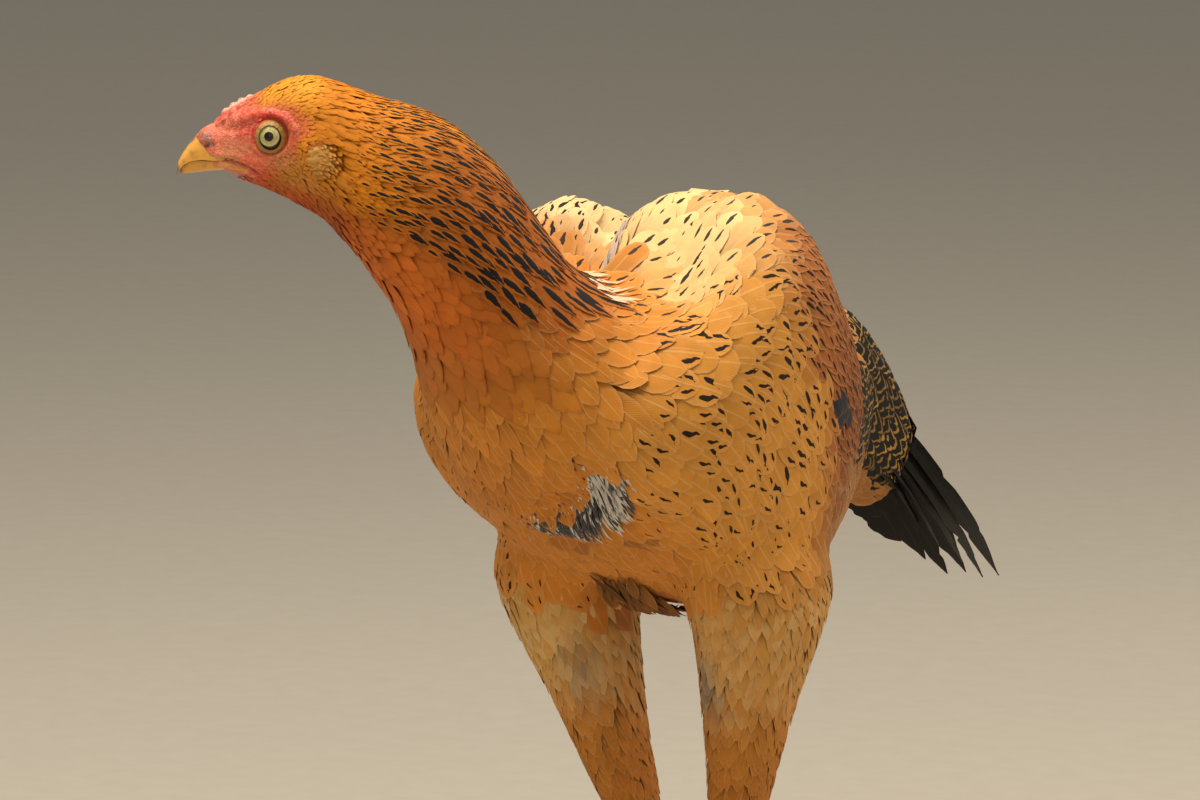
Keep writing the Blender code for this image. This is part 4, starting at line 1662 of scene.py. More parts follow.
@dataclass
class Follicles:
    """Shares the skin out among the kinds of feathers, so that no two roots crowd each other."""

    body: Body
    taken: set = field(default_factory=set)
    order: int = 0

    def scatter(self, where: Array, spacing: Array) -> Array:
        """Chooses faces of the shell so that the roots keep their distance.

        Args:
            where: which faces may hold a root.
            spacing: least distance to the next root, in mm, for each face.

        Returns:
            Numbers of the chosen faces.
        """
        self.order += 1
        rng = np.random.default_rng(SEED * 100 + self.order)
        centres = self.body.shell.places.points
        chosen = np.flatnonzero(where)
        tree = KDTree(len(chosen))
        for place, index in enumerate(chosen):
            tree.insert(centres[index], place)
        tree.balance()
        free = np.ones(len(chosen), bool)
        picked = []
        for place in rng.permutation(len(chosen)):
            if not free[place]:
                continue
            index = chosen[place]
            picked.append(index)
            for _, near, _ in tree.find_range(centres[index], spacing[index]):
                free[near] = False
        return np.array(picked, int)

    def patches(self, faces: Array) -> Array:
        """Finds each root a square of its own on the bake map, near the place of its face.

        Args:
            faces: the faces of the shell that hold the roots.

        Returns:
            The middle of each root's square.
        """
        spots = np.empty((len(faces), 2))
        for row, place in enumerate(self.body.shell.unwrap[faces]):
            home = tuple(np.floor(place / CELL).astype(int))
            found = next((cell for cell in self.squares(home) if cell not in self.taken), home)
            self.taken.add(found)
            spots[row] = (np.array(found) + 0.5) * CELL
        return spots

    def squares(self, home: tuple[int, int], most: int = 9) -> Iterator[tuple[int, int]]:
        """Squares of the bake map, ring by ring round one of them.

        Args:
            home: the square in the middle.
            most: how many rings to try.

        Yields:
            The squares that lie on the map.
        """
        for reach in range(most):
            span = range(-reach, reach + 1)
            for dx, dy in ((dx, dy) for dx in span for dy in span if max(abs(dx), abs(dy)) == reach):
                if 0 < home[0] + dx < CELLS and 0 < home[1] + dy < CELLS:
                    yield home[0] + dx, home[1] + dy

    def seed(
        self,
        faces: Array,
        length: Array,
        width: Array,
        mark: Array,
        vary: float,
        tone: Array | None,
    ) -> Roots:
        """Sets roots on faces of the shell.

        Args:
            faces: the chosen faces.
            length: length of the feather on each of them, in mm.
            width: its width.
            mark: how strongly it is marked.
            vary: chance change of the sizes.
            tone: its colour, if it isn't the coat's own.

        Returns:
            The roots.
        """
        rng = np.random.default_rng(SEED + len(faces))
        shell = self.body.shell
        centres = shell.places.points[faces]
        longer = 1 + rng.normal(0, vary, len(faces))
        tone = plumage_tone(shell.places.take(faces, centres), rng) if tone is None else tone
        jitter = rng.normal(0, 0.35, (len(faces), 3))
        wider = 1 + rng.normal(0, vary, len(faces))
        self.taken = set()
        return Roots(
            points=centres + jitter,
            length=length * longer,
            width=width * wider,
            depth=shell.depth[faces] * 0.92,
            tone=tone,
            mark=np.clip(mark, 0, 2),
            patch=self.patches(faces),
        )


def pencilled(piece: str) -> Vane:
    """Black keratin with gold lines, as on the tertials and the tail coverts."""
    name = f"{piece}_black_pencilled"
    return Vane(name, Marking.PENCIL, "15100B", roughness=0.6, gloss=0.12, shaft=0.2, fringe=0.15)


@dataclass
class Plumage:
    """The whole coat, kind by kind."""

    body: Body
    follicles: Follicles
    most: int = 3900  # feathers in one piece

    def __post_init__(self) -> None:
        """Reads the places of the shell, and shares the neck out between hackle and throat."""
        self.at = self.body.shell.places
        self.t, self.a, self.z = self.at.station, self.at.folded, self.at.points[:, 2]
        self.chance = np.random.default_rng(SEED + 5).random(len(self.t))
        at, t, a = self.at, self.t, self.a
        # the black tips of the cape end on this line
        cape = np.interp(a, (-30, -27, -21, -6, 15, 36, 50), (9.6, 9.0, 8.0, 7.5, 7.3, 7.0, 6.7))
        neck = at.is_(Part.NECK, Part.HEAD, Part.TRUNK) & (t < 12.7) & (at.face < -3) & (t > 6.4)
        neck = neck & (ear_ring(at) > 1.35)
        self.hackle = neck & (t > cape + 0.5 * np.clip(self.by_station(25, 22, 18, 14, 11, 9, 7) / 24, 0, 1))
        self.hackle = self.hackle & (a > -32)
        self.throat = neck & ~self.hackle & (a <= -27) & (t > 7.0)

    def by_station(self, *sizes: float) -> Array:
        """Sizes that are given for seven stations up the neck, read for each face."""
        return np.interp(self.t, (7.2, 8, 9, 10, 11, 12, 13), sizes)

    def grown(
        self,
        kind: Feathers,
        where: Array,
        gap: Array | float,
        *sizes: Array | float,
        vary: float = 0.12,
        tone: Array | None = None,
    ) -> None:
        """Scatters one kind of feather by a least gap in mm, and grows it by length, width and mark."""
        gap = np.broadcast_to(gap, len(self.t))
        self.planted(kind, self.follicles.scatter(where, gap), *sizes, vary=vary, tone=tone)

    def planted(
        self,
        kind: Feathers,
        faces: Array,
        length: Array | float,
        width: Array | float,
        mark: Array | float = 0.0,
        vary: float = 0.12,
        tone: Array | None = None,
    ) -> None:
        """Grows one kind of feather on chosen faces, in as many pieces as it needs.

        Args:
            kind: the feathers' make.
            faces: the faces that hold a root.
            length: length of a feather, in mm.
            width: its width.
            mark: how strongly it is marked.
            vary: chance change of the sizes.
            tone: its colour, if it isn't the coat's own.
        """
        length, width, mark = (np.broadcast_to(size, len(self.t)) for size in (length, width, mark))
        faces = faces[np.argsort(self.t[faces])]
        parts = max(1, math.ceil(len(faces) / self.most))
        for number, some in enumerate(np.array_split(faces, parts), 1):
            if len(some) < 2:
                continue
            tones = None if tone is None else tone[some]
            roots = self.follicles.seed(some, length[some], width[some], mark[some], vary, tones)
            name = kind.name if parts == 1 else f"{kind.name}_{number}"
            replace(kind, name=name).grow(self.body, roots)

    def build(self) -> None:
        """Grows every kind of feather."""
        self.neck()
        self.trunk()
        self.down()
        self.shoulders()
        self.wings()
        self.thighs()
        self.rump()
        self.head()

    def neck(self) -> None:
        """Hackle: fine and plain on the nape, and long with black points at the fringe of the cape."""
        t, a = self.t, self.a
        down = self.by_station(4.6, 3.9, 3.0, 2.4, 1.8, 1.45, 1.25)
        length = self.by_station(25, 22, 18, 14, 11, 9, 7)
        # its dark fringe colour paints shade between the hackle feathers
        plain = Vane("hackle_feather_orange", shaft=0.0, fringe=0.6, pale="7A3608")
        kind = Feathers("hackle", plain, Outline.LANCE, 0.2, 0.05, 0.08)
        self.grown(kind, self.hackle, down, length, down * 1.45 + 0.3)
        spots = ease(t, 12.0, 10.8) * ease(a, -35, -25) * np.interp(t, (7.3, 9, 11), (1.05, 0.95, 0.85))
        spots = spots * (0.75 + 0.4 * self.chance)
        gap = self.by_station(6.3, 5.7, 4.7, 3.8, 3.1, 2.8, 2.7)
        wide = self.by_station(7.2, 6.2, 5.0, 4.0, 3.1, 2.6, 2.2)
        # here too the dark fringe is painted shade between feathers
        pointed = Vane("hackle_feather_orange_black", Marking.STRIPE, shaft=0.0, fringe=0.4, pale="8A4410")
        kind = Feathers("hackle_points", pointed, Outline.LANCE, 0.24, 0.05, 0.55, 3.2)
        self.grown(kind, self.hackle & (t < 12.1) & (a > -35), gap, length * 1.25, wide, spots)
        # the dark fringe of the throat feathers is painted shade between them
        rust = Vane("throat_feather_rust", shaft=0.0, fringe=0.45, pale="5E2408")
        size = np.interp(t, (7.0, 8, 9, 10, 11, 12, 13), (6.0, 4.8, 3.8, 3.0, 2.2, 1.8, 1.5))
        kind = Feathers("throat_feathers", rust, Outline.LANCE, 0.24, 0.03)
        self.grown(kind, self.throat, size, length * 1.05, size * 2.2 + 0.2)

    def trunk(self) -> None:
        """Breast, flanks and back, with dark brackets on the left flank and low on the right."""
        at, t, a, chance = self.at, self.t, self.a, self.chance
        trunk = at.is_(Part.TRUNK, Part.NECK) & ~self.hackle & ~self.throat & (t < 9.3)
        self.downy = trunk & (DOWN_PATCH.near(at.points) > 0.3)
        parted = PARTING.near(at.points) > 0.4
        left = ease(t, 6.85, 6.6) * (at.side > 0) * ease(a, -84, -74) * ease(a, 34, 24)
        left = left * (1 - ease(t, 5.9, 6.5) * ease(a, 0, -22))
        right = (at.side < 0) * ease(a, -86, -72) * ease(t, 7.0, 6.7) * ease(a, 30, 10)
        spangle = np.maximum(left, right * 0.85) * ease(t, 4.2, 4.6)
        grade = ease(t, 8.0, 6.4)
        faces = self.follicles.scatter(trunk & (a < 34) & (t > 3.1) & ~parted, 4.1 + 2.0 * grade)
        dense = 0.24 + 0.3 * ease(a, -40, 0)
        marked = chance[faces] < (dense * (spangle > 0.3) * spangle)[faces]
        size, wide = 18 + 8 * grade, 8.0 + 4.6 * grade
        gold = Vane("breast_feather_gold", shaft=0.3, fringe=0.2)
        breast = Feathers("breast_feathers", gold, Outline.SOFT, 0.22, 0.025, 0.1)
        self.planted(breast, faces[~marked], size, wide)
        short = replace(breast, name="breast_feathers_short")
        self.grown(short, trunk & parted & ~self.downy, 5.2, 12.5, 8.5)
        spotted = Vane("flank_feather_spangled", Marking.BRACKET, "241610", shaft=0.24, fringe=0.2)
        flank = Feathers("flank_feathers_spangled", spotted, Outline.SOFT, 0.22, 0.025, 0.16)
        marks = 0.5 + 0.75 * ease(a, -50, 15) * ease(t, 5.0, 5.8) + 0.4 * chance
        self.planted(flank, faces[marked], size, wide, marks)
        cream = Vane("back_feather_cream_streaked", Marking.STREAK, "3A2C22", fringe=0.3)
        back = Feathers("back_feathers", cream, Outline.ROUND, 0.22, 0.025)
        self.grown(back, trunk & (a >= 34) & (t > 3.1), 6.2, 25, 13, 0.35 + 0.6 * chance * (chance > 0.4))

    def down(self) -> None:
        """Grey down where the breast parts, pale down behind the cape, and brown down under the belly."""
        at, t, a, chance = self.at, self.t, self.a, self.chance
        grey = blend(fill(len(t), "4E4845"), "E2D8C8", (chance > 0.3 + 0.5 * ease(a, -68, -76)) * 0.9)
        fluff = Vane("breast_down_grey", shaft=0.0, fringe=0.4, barbs=10, pale="F0EAE0")
        kind = Feathers("breast_down", fluff, Outline.WISP, 0.2, 0.0, 0.3, 1.6, sway=0.3)
        self.grown(kind, self.downy, 1.15, 12, 1.8, vary=0.3, tone=grey)
        tufts = np.maximum(CAPE_DOWN.near(at.points), VALLEY_DOWN.near(at.points)) > 0.45
        pale = blend(fill(len(t), "F0C69E"), "C9BCAC", ease(a, 78, 88) * (0.3 + 0.7 * chance))
        wisps = Vane("loose_down_pale", shaft=0.0, fringe=0.3, barbs=10, pale="FFF6EA")
        kind = Feathers("loose_down", wisps, Outline.WISP, 0.22, 0.0, 0.9, sway=0.3)
        self.grown(kind, tufts & ~self.hackle, 2.6, 15, 3.4, vary=0.25, tone=pale)
        low = at.is_(Part.TRUNK) & (a < -84) & (t > 3.9) & (t < 4.65)
        brown = blend(fill(len(t), "6A4426"), "A87038", chance * 0.8)
        hanging = Vane("belly_down_brown", roughness=0.85, gloss=0.05, shaft=0.05, fringe=0.2, barbs=14)
        kind = Feathers("belly_down", hanging, Outline.LANCE, 0.2, 0.04, 6.0, 1.4, 0.45)
        self.grown(kind, low, 3.8, 20, 4.0, vary=0.3, tone=brown)

    def shoulders(self) -> None:
        """Spangled shoulders, and over them the two humps, the left one cream with dark streaks."""
        at, t, a, chance = self.at, self.t, self.a, self.chance
        shoulder = at.is_(Part.WING) & (t >= bow_front(a))
        spotted = Vane("shoulder_feather_spangled", Marking.BRACKET, "241610")
        marks = np.where(chance < 0.6, 0.6 + 0.4 * ease(a, -40, 10) + 0.7 * chance, 0.0)
        marks = marks * ease(t, 4.2, 4.6) * ease(a, -64, -50)
        kind = Feathers("shoulder_feathers", spotted, Outline.ROUND, 0.22, 0.025, 0.16)
        self.grown(kind, shoulder & (a < 36), 6.6, 25, 14, marks)
        cream = Vane("hump_feather_cream", Marking.STREAK, "3C332C", shaft=0.15, fringe=0.3)
        far = shoulder & (at.side < 0)
        kind = Feathers("hump_feathers", cream, Outline.ROUND, 0.22, 0.025)
        marks = np.where(chance > 0.4, 0.35 + 0.55 * chance, 0.0)
        self.grown(kind, shoulder & (a >= 36) & ~far, 5.8, 24, 11.5, marks)
        spotted = replace(spotted, name="hump_feather_spangled")
        kind = Feathers("far_hump_feathers", spotted, Outline.ROUND, 0.22, 0.025)
        self.grown(kind, far & (a >= 36), 7.0, 25, 13, 0.9 + 0.7 * chance)

    def wings(self) -> None:
        """A rusty bow with black streaks, one dark bar, a mottled brown panel and pencilled tertials."""
        at, t, a, chance = self.at, self.t, self.a, self.chance
        folded = at.is_(Part.WING) & (t < bow_front(a))
        bow = folded & (a > -2) & (t > 3.7)
        bar = at.is_(Part.WING) & (t < 4.45) & (t > 4.15) & (np.abs(a - 4.5) < 2.8)
        panel = folded & ~bow & ~bar & (t > 3.1)
        tertial = at.is_(Part.WING) & (t <= 3.1) | (panel & (a > 0) & (t <= 3.75))
        rusty = Vane("wing_bow_feather_rust", Marking.STREAK, "1B120D", fringe=0.42, pale="F4C88A")
        kind = Feathers("wing_bow_feathers", rusty, Outline.LANCE, 0.24, 0.04)
        self.grown(kind, bow & ~bar, 4.8, 20, 9, 0.75 + 0.6 * chance)
        dark = Vane("wing_bar_feather_blue_black", fringe=0.5, shaft=0.1, roughness=0.5, pale="A8623A")
        kind = Feathers("wing_bar_feathers", dark, Outline.BLUNT, 0.4, 0.03, 0.5)
        self.grown(kind, bar, 4.6, 16, 9, vary=0.05, tone=fill(len(t), "24272C"))
        brown = Vane("wing_panel_feather_brown", Marking.MOTTLE, "4B3324", fringe=0.35)
        kind = Feathers("wing_panel_feathers", brown, Outline.BLUNT, 0.32, 0.03)
        self.grown(kind, panel & ~tertial, 8.0, 42, 12, 0.4 + 0.4 * chance)
        kind = Feathers("tertial_feathers", pencilled("tertial"), Outline.ROUND, 0.35, 0.04, 0.4)
        gold = fill(len(t), "B5873A")
        self.grown(kind, tertial, 8.0, 36, 15, 0.5 + 0.5 * chance, vary=0.1, tone=gold)

    def thighs(self) -> None:
        """Soft narrow feathers down the thighs, with slate patches where the down shows in front."""
        at, z = self.at, self.z
        x, y = at.points[:, 0], at.points[:, 1]
        middle = np.where(x > 0, 37, -28)
        slate = np.exp(-(((z - 207) / 15) ** 2) - ((x - middle) / 7.5) ** 2 - ((y + 20) / 15) ** 2)
        tone = plumage_tone(at, np.random.default_rng(SEED + 9))
        tone = blend(tone, "6B6467", slate * (0.7 + 0.3 * self.chance))
        pale = ease(z, 175, 205) * ease(z, 256, 236) * np.where(x > 0, 0.35, 0.5)
        tone = blend(tone, "EBCB90", pale * self.chance)
        rise = ease(z, 125, 215)
        soft = Vane("thigh_feather_soft_tan", roughness=0.8, shaft=0.08, fringe=0.22)
        kind = Feathers("thigh_feathers", soft, Outline.LANCE, 0.24, 0.04, -0.35, sway=0.17)
        where = at.is_(Part.THIGH) & (z > 112)
        self.grown(kind, where, 2.4 + 1.1 * rise, 11 + 7 * rise, 4.4 + 2.0 * rise, vary=0.2, tone=tone)

    def rump(self) -> None:
        """Black tail coverts with gold pencilling, golden saddle feathers, and soft ones under the tail."""
        at, t, a, chance = self.at, self.t, self.a, self.chance
        rump = (at.is_(Part.TRUNK) & (t <= 3.1)) | at.is_(Part.TAIL)
        coverts = rump & (a > -44) & (t < 2.75)
        kind = Feathers("tail_covert_feathers", pencilled("tail_covert"), Outline.ROUND, 0.38, 0.04, 0.3)
        gold = fill(len(t), "B5873A")
        self.grown(kind, coverts, 7.4, 34 + 10 * chance, 15, 0.35 + 0.65 * chance, tone=gold)
        saddle = Vane("saddle_feather_gold_striped", Marking.STREAK, "1F150F", fringe=0.4)
        kind = Feathers("saddle_feathers", saddle, Outline.LANCE, 0.3, 0.04)
        self.grown(kind, rump & (a > -44) & ~coverts, 5.8, 30, 11, 0.9 + 0.6 * chance)
        vent = Vane("vent_feather_soft", roughness=0.8, shaft=0.1)
        kind = Feathers("vent_feathers", vent, Outline.ROUND, 0.28, 0.04, sway=0.15)
        self.grown(kind, rump & (a <= -44), 5.6, 20, 10)

    def head(self) -> None:
        """Fine feathers on crown, cheek and ear, and sparse bristles on the bare face."""
        at, t = self.at, self.t
        ring = ear_ring(at)
        small = ease(-at.face, 0.3, 12) * ease(ring, 0.9, 1.8)
        crown = at.is_(Part.HEAD, Part.EAR) & (at.face < 2.4) & (t < 17.4) & (ring > 1.02)
        crown = crown & ((t >= 12.7) | (at.face >= -3) | at.is_(Part.EAR) | (ring < 1.4))
        crown = crown & ~(self.hackle | self.throat)
        # the dark fringe of the crown feathers is painted shade, drawn as dark streaks between them
        finish = Vane(
            "crown_feather_gold", roughness=0.7, shaft=0.0, fringe=0.45, barbs=10, relief=0.15, pale="8A4410"
        )
        kind = Feathers("crown_feathers", finish, Outline.LANCE, 0.15, 0.03, 0.05, 1.6, sway=0.07, roll=0.0)
        gap = 0.78 + 0.5 * small + 1.0 * ease(at.face, -0.6, 2.4)
        self.grown(kind, crown, gap, 2.4 + 4.2 * small, 1.5 + 1.0 * small)
        # the darker fringe of the ear coverts is painted shade between them
        lobe = Vane(
            "ear_covert_pale", roughness=0.75, shaft=0.0, fringe=0.3, barbs=6, relief=0.1, pale="A8622C"
        )
        kind = Feathers("ear_coverts", lobe, Outline.LANCE, 0.14, 0.02, 0.12, 1.2, sway=0.08)
        tone = blend(fill(len(t), "E2A248"), "CC8438", 0.6 * self.chance)
        self.grown(kind, ring < 1.02, 0.8, 3.2, 1.25, vary=0.15, tone=tone)
        bristle = at.is_(Part.HEAD) & (at.face >= 0.6) & (at.ahead < 17) & (ring >= 1.0)
        clear = np.hypot((at.ahead + 1.8) / 9, (at.height - 2.5) / 9.5) > 1.15
        finish = Vane("face_bristle_pale", shaft=0.0, fringe=0.0, barbs=4, relief=0.0)
        kind = Feathers("face_bristles", finish, Outline.WISP, 0.14, 0.0, 0.22, sway=0.3)
        tone = blend(face_tone(at), "E8B070", np.full(len(t), 0.5))
        self.grown(kind, bristle & clear, 2.3, 1.5, 0.3, vary=0.2, tone=tone)


# ---- eyes, lids, bill, claws, scales and tail


def face_outwards(obj: Object) -> None:
    """Turns the faces of a closed piece outwards."""
    with reshaping(obj) as work:
        bmesh.ops.recalc_face_normals(work, faces=work.faces)


def loft(bird: BirdFrame, name: str, rings: Array) -> Object:
    """A closed tube through rings of points, rounded off in the middle of its first and last ring.

    Args:
        bird: the bird's frame.
        name: name of the piece.
        rings: points in mm, by ring and by step round it.

    Returns:
        The new object, with its faces pointing outwards.
    """
    count, steps = rings.shape[:2]
    points = np.concatenate([rings.reshape(-1, 3), rings[0].mean(0)[None], rings[-1].mean(0)[None]])
    here = np.arange(steps)
    after = (here + 1) % steps
    starts = np.arange(count - 1) * steps
    quads = [np.stack([r + here, r + after, r + steps + after, r + steps + here], 1) for r in starts]
    end = (count - 1) * steps
    first = np.stack([after, here, np.full(steps, count * steps)], 1)
    last = np.stack([end + here, end + after, np.full(steps, count * steps + 1)], 1)
    obj = make_object(name, bird.to_row(points), np.concatenate(quads), np.concatenate([first, last]))
    face_outwards(obj)
    return obj


@dataclass
class Eyes:
    """Both eyeballs with their corneas, and the wrinkled ring of lid round each."""

    bird: BirdFrame
    cornea: float = 0.35
    lid_back: float = 0.4  # the lid's opening sits behind and below the middle of the iris
    lid_down: float = 0.7
    lid_wide: float = 5.35
    lid_tall: float = 5.95

    def build(self) -> None:
        """Builds the four pieces."""
        lid = SkinFinish("eyelid_skin_wrinkled", 0.4, 0.7, 0.4, 0.15, 0.3).make()
        for word in SIDES:
            self.eyeball(word)
            self.eyelid(word, lid)

    def eyeball(self, word: str) -> None:
        """One eyeball, its pole turned the way that it looks.

        Args:
            word: left or right.
        """
        centre, axis, radius = eye_place(self.bird, word)
        place = tuple(float(v) for v in self.bird.to_row(centre))
        deselect()
        bpy.ops.mesh.primitive_uv_sphere_add(
            segments=48,
            ring_count=28,
            radius=radius / 1000,
            location=place,
            rotation=Vector(axis).to_track_quat("Z", "Y").to_euler(),
        )
        obj = bpy.context.active_object
        bpy.ops.object.transform_apply(location=True, rotation=True, scale=True)
        obj.name = obj.data.name = f"eyeball_{word}"
        local = self.bird.to_bird(points_of(obj.data))
        depth, wide = along_axis(local, centre, axis)
        local += axis * (self.cornea * ease(wide, 4.4, 0.5) * (depth > 0))[:, None]
        set_points(obj.data, self.bird.to_row(local))
        finish = EyeFinish(f"eye_{word}_wet_cornea", place, tuple(float(v) for v in axis)).make()
        finish_piece(obj, "eye_gloss", f"eye_{word}", finish=finish, smooth=60)

    def eyelid(self, word: str, finish: Material) -> None:
        """One lid: a soft ring that hugs the eyeball, creased across and round.

        Args:
            word: left or right.
            finish: the lids' material.
        """
        centre, axis, radius = eye_place(self.bird, word)
        deselect()
        bpy.ops.mesh.primitive_torus_add(
            major_segments=96, minor_segments=16, major_radius=1.0, minor_radius=0.2
        )
        obj = bpy.context.active_object
        obj.name = obj.data.name = f"eyelid_{word}"
        raw = points_of(obj.data)
        turn = np.arctan2(raw[:, 1], raw[:, 0])
        out = np.hypot(raw[:, 0], raw[:, 1]) - 1.0
        up = raw[:, 2]
        side = unit(np.cross(np.array([0, 0, 1.0]), axis))
        side = side * (1 if side @ HEAD.ahead > 0 else -1)
        rise = unit(np.cross(axis, side))
        rise = rise * (1 if rise[2] > 0 else -1)
        wrinkle = 0.10 * np.sin(turn * 31) + 0.07 * np.sin(turn * 17 + 1.3)
        reach = out * 5.6 + wrinkle * 0.5
        wide = np.cos(turn) * (self.lid_wide + reach) - self.lid_back * ease(np.abs(reach), 0.0, 1.2)
        tall = np.sin(turn) * (self.lid_tall + reach) - self.lid_down
        corner = np.exp(-((turn - math.pi) ** 2) / 0.05) + np.exp(-((turn + math.pi) ** 2) / 0.05)
        wide = wide - 0.15 * corner
        level = np.hypot(wide, tall)
        seat = np.sqrt(np.clip(radius**2 - level**2, 0.0, None))
        # past 6 mm from the middle the lid leaves the ball and slopes back on to the head
        seat = np.where(level > 6.0, np.sqrt(radius**2 - 36) - (level - 6.0) * 0.9, seat)
        lift = up * 3.6 + wrinkle * (up > 0) + 0.16 * np.sin(reach * 5.2) * (up > 0)
        local = centre + side * wide[:, None] + rise * tall[:, None] + axis * (seat + lift + 0.25)[:, None]
        set_points(obj.data, self.bird.to_row(local))
        obj.location = (0, 0, 0)
        face_outwards(obj)
        tone = blend(fill(len(raw), "B8904A"), "6E5228", ease(reach, -0.55, -1.1))
        set_tone(obj.data, blend(tone, "C77A4A", ease(reach, 0.5, 1.1)))
        finish_piece(obj, "bare_skin", finish=finish, smooth=80)


@dataclass
class Bill:
    """The horn of the bill. A row is forward, outer edge, half width and mouth, in mm on the head.

    A worn and stained place is forward, out, up and how far it reaches.
    """

    bird: BirdFrame
    upper: Rows = (
        (13.0, 7.0, 6.4, -8.5),
        (21.4, 5.4, 7.1, -8.5),
        (25.0, 4.2, 6.4, -8.3),
        (28.6, 1.2, 5.4, -8.5),
        (32.2, -3.2, 4.2, -9.6),
        (35.2, -7.6, 2.9, -11.8),
        (36.7, -11.4, 1.6, -14.2),
        (37.0, -14.6, 0.5, -15.6),
    )
    lower: Rows = (
        (13.0, -12.2, 5.6, -8.9),
        (21.4, -12.9, 6.4, -8.9),
        (25.0, -13.2, 5.7, -8.8),
        (29.0, -13.6, 4.7, -8.8),
        (32.2, -14.0, 3.5, -9.9),
        (34.5, -14.3, 2.1, -11.6),
        (35.4, -14.2, 0.9, -12.8),
    )
    worn: Rows = ((26.5, 2, 4.0, 4.2), (30.5, 0, 0.0, 2.6), (22.0, 0, -16.0, 4.0), (37.0, 0, -13.0, 3.6))
    count: int = 30
    around: int = 25

    def build(self) -> BVHTree:
        """Builds both halves.

        Returns:
            A tree of their surface in mm, for the skin to grow on.
        """
        stains = tuple((*self.bird.to_row(HEAD.place(*place)), reach) for *place, reach in self.worn)
        horn = HornFinish("bill_horn_waxy", "F2AE44", "7D5842", stains).make()
        points, faces = [], []
        for name, rows in (("upper", self.upper), ("lower", self.lower)):
            obj = self.half(f"bill_{name}_horn", rows)
            finish_piece(obj, "horn", f"bill_{name}", finish=horn, smooth=50)
            start = len(points)
            points += [tuple(p) for p in self.bird.to_bird(points_of(obj.data))]
            faces += [[i + start for i in p.vertices] for p in obj.data.polygons]
        return BVHTree.FromPolygons(points, faces)

    def half(self, name: str, rows: Rows) -> Object:
        """One half: round outside with a ridge, and flat where the two meet.

        Args:
            name: name of the piece.
            rows: its sections.

        Returns:
            The piece, with no finish yet.
        """
        table = catmull(np.array(rows), np.linspace(0, len(rows) - 1, self.count))
        turn = np.linspace(0, math.pi, self.around)
        rings = []
        for forward, edge, half, mouth in table:
            ridge = 1 + 0.05 * np.exp(-(((turn - math.pi / 2) / 0.22) ** 2))
            height = mouth + (edge - mouth) * np.sin(turn) ** 0.85 * ridge
            outer = [HEAD.place(forward, half * math.cos(a), h) for a, h in zip(turn, height)]
            low = mouth + (edge - mouth) * 0.04
            inner = [HEAD.place(forward, half * c, low) for c in np.linspace(-0.86, 0.86, 7)]
            rings.append(outer + inner)
        return loft(self.bird, name, np.array(rings))


TOES = (
    # name, heading out from straight ahead, start, length, thickness at the root and the tip, claw
    ("inner", -31.0, 15.4, 32.0, 4.5, 3.5, 11.0),
    ("middle", 7.0, 15.4, 47.0, 4.8, 3.7, 13.0),
    ("outer", 45.0, 15.4, 35.0, 4.4, 3.4, 10.5),
    ("hind", 172.0, 8.6, 14.0, 4.2, 3.3, 10.0),
)
FOOT = (35.5, 12.5)  # where the toes meet, out to the side and back
SHANK = (
    # x out to the side, y, z, half width, reach to the front and to the back
    (22.6, 31.4, 119.6, 7.2, 8.2, 8.8),
    (21.8, 32.0, 112.0, 8.4, 9.2, 10.0),
    (22.4, 31.0, 104.0, 7.8, 8.2, 9.0),
    (25.0, 27.5, 90.0, 5.9, 6.8, 7.4),
    (29.0, 22.0, 62.0, 5.5, 6.6, 7.0),
    (32.8, 17.0, 34.0, 5.8, 7.0, 7.4),
    (34.6, 14.6, 20.0, 7.0, 8.0, 8.2),
    (35.5, 12.5, 9.0, 8.6, 9.0, 8.0),
)


SCALE_ROWS = (
    # place round the shank from the front, in degrees, and width in mm
    (-25, 7.0), (25, 7.0), (-72, 4.6), (72, 4.6), (-112, 3.6), (112, 3.6),
    (-152, 3.8), (152, 3.8), (180, 3.4),
)
# place across the toe, and width, as shares of its thickness
TOE_ROWS = ((0.0, 2.1), (-0.92, 0.9), (0.92, 0.9))


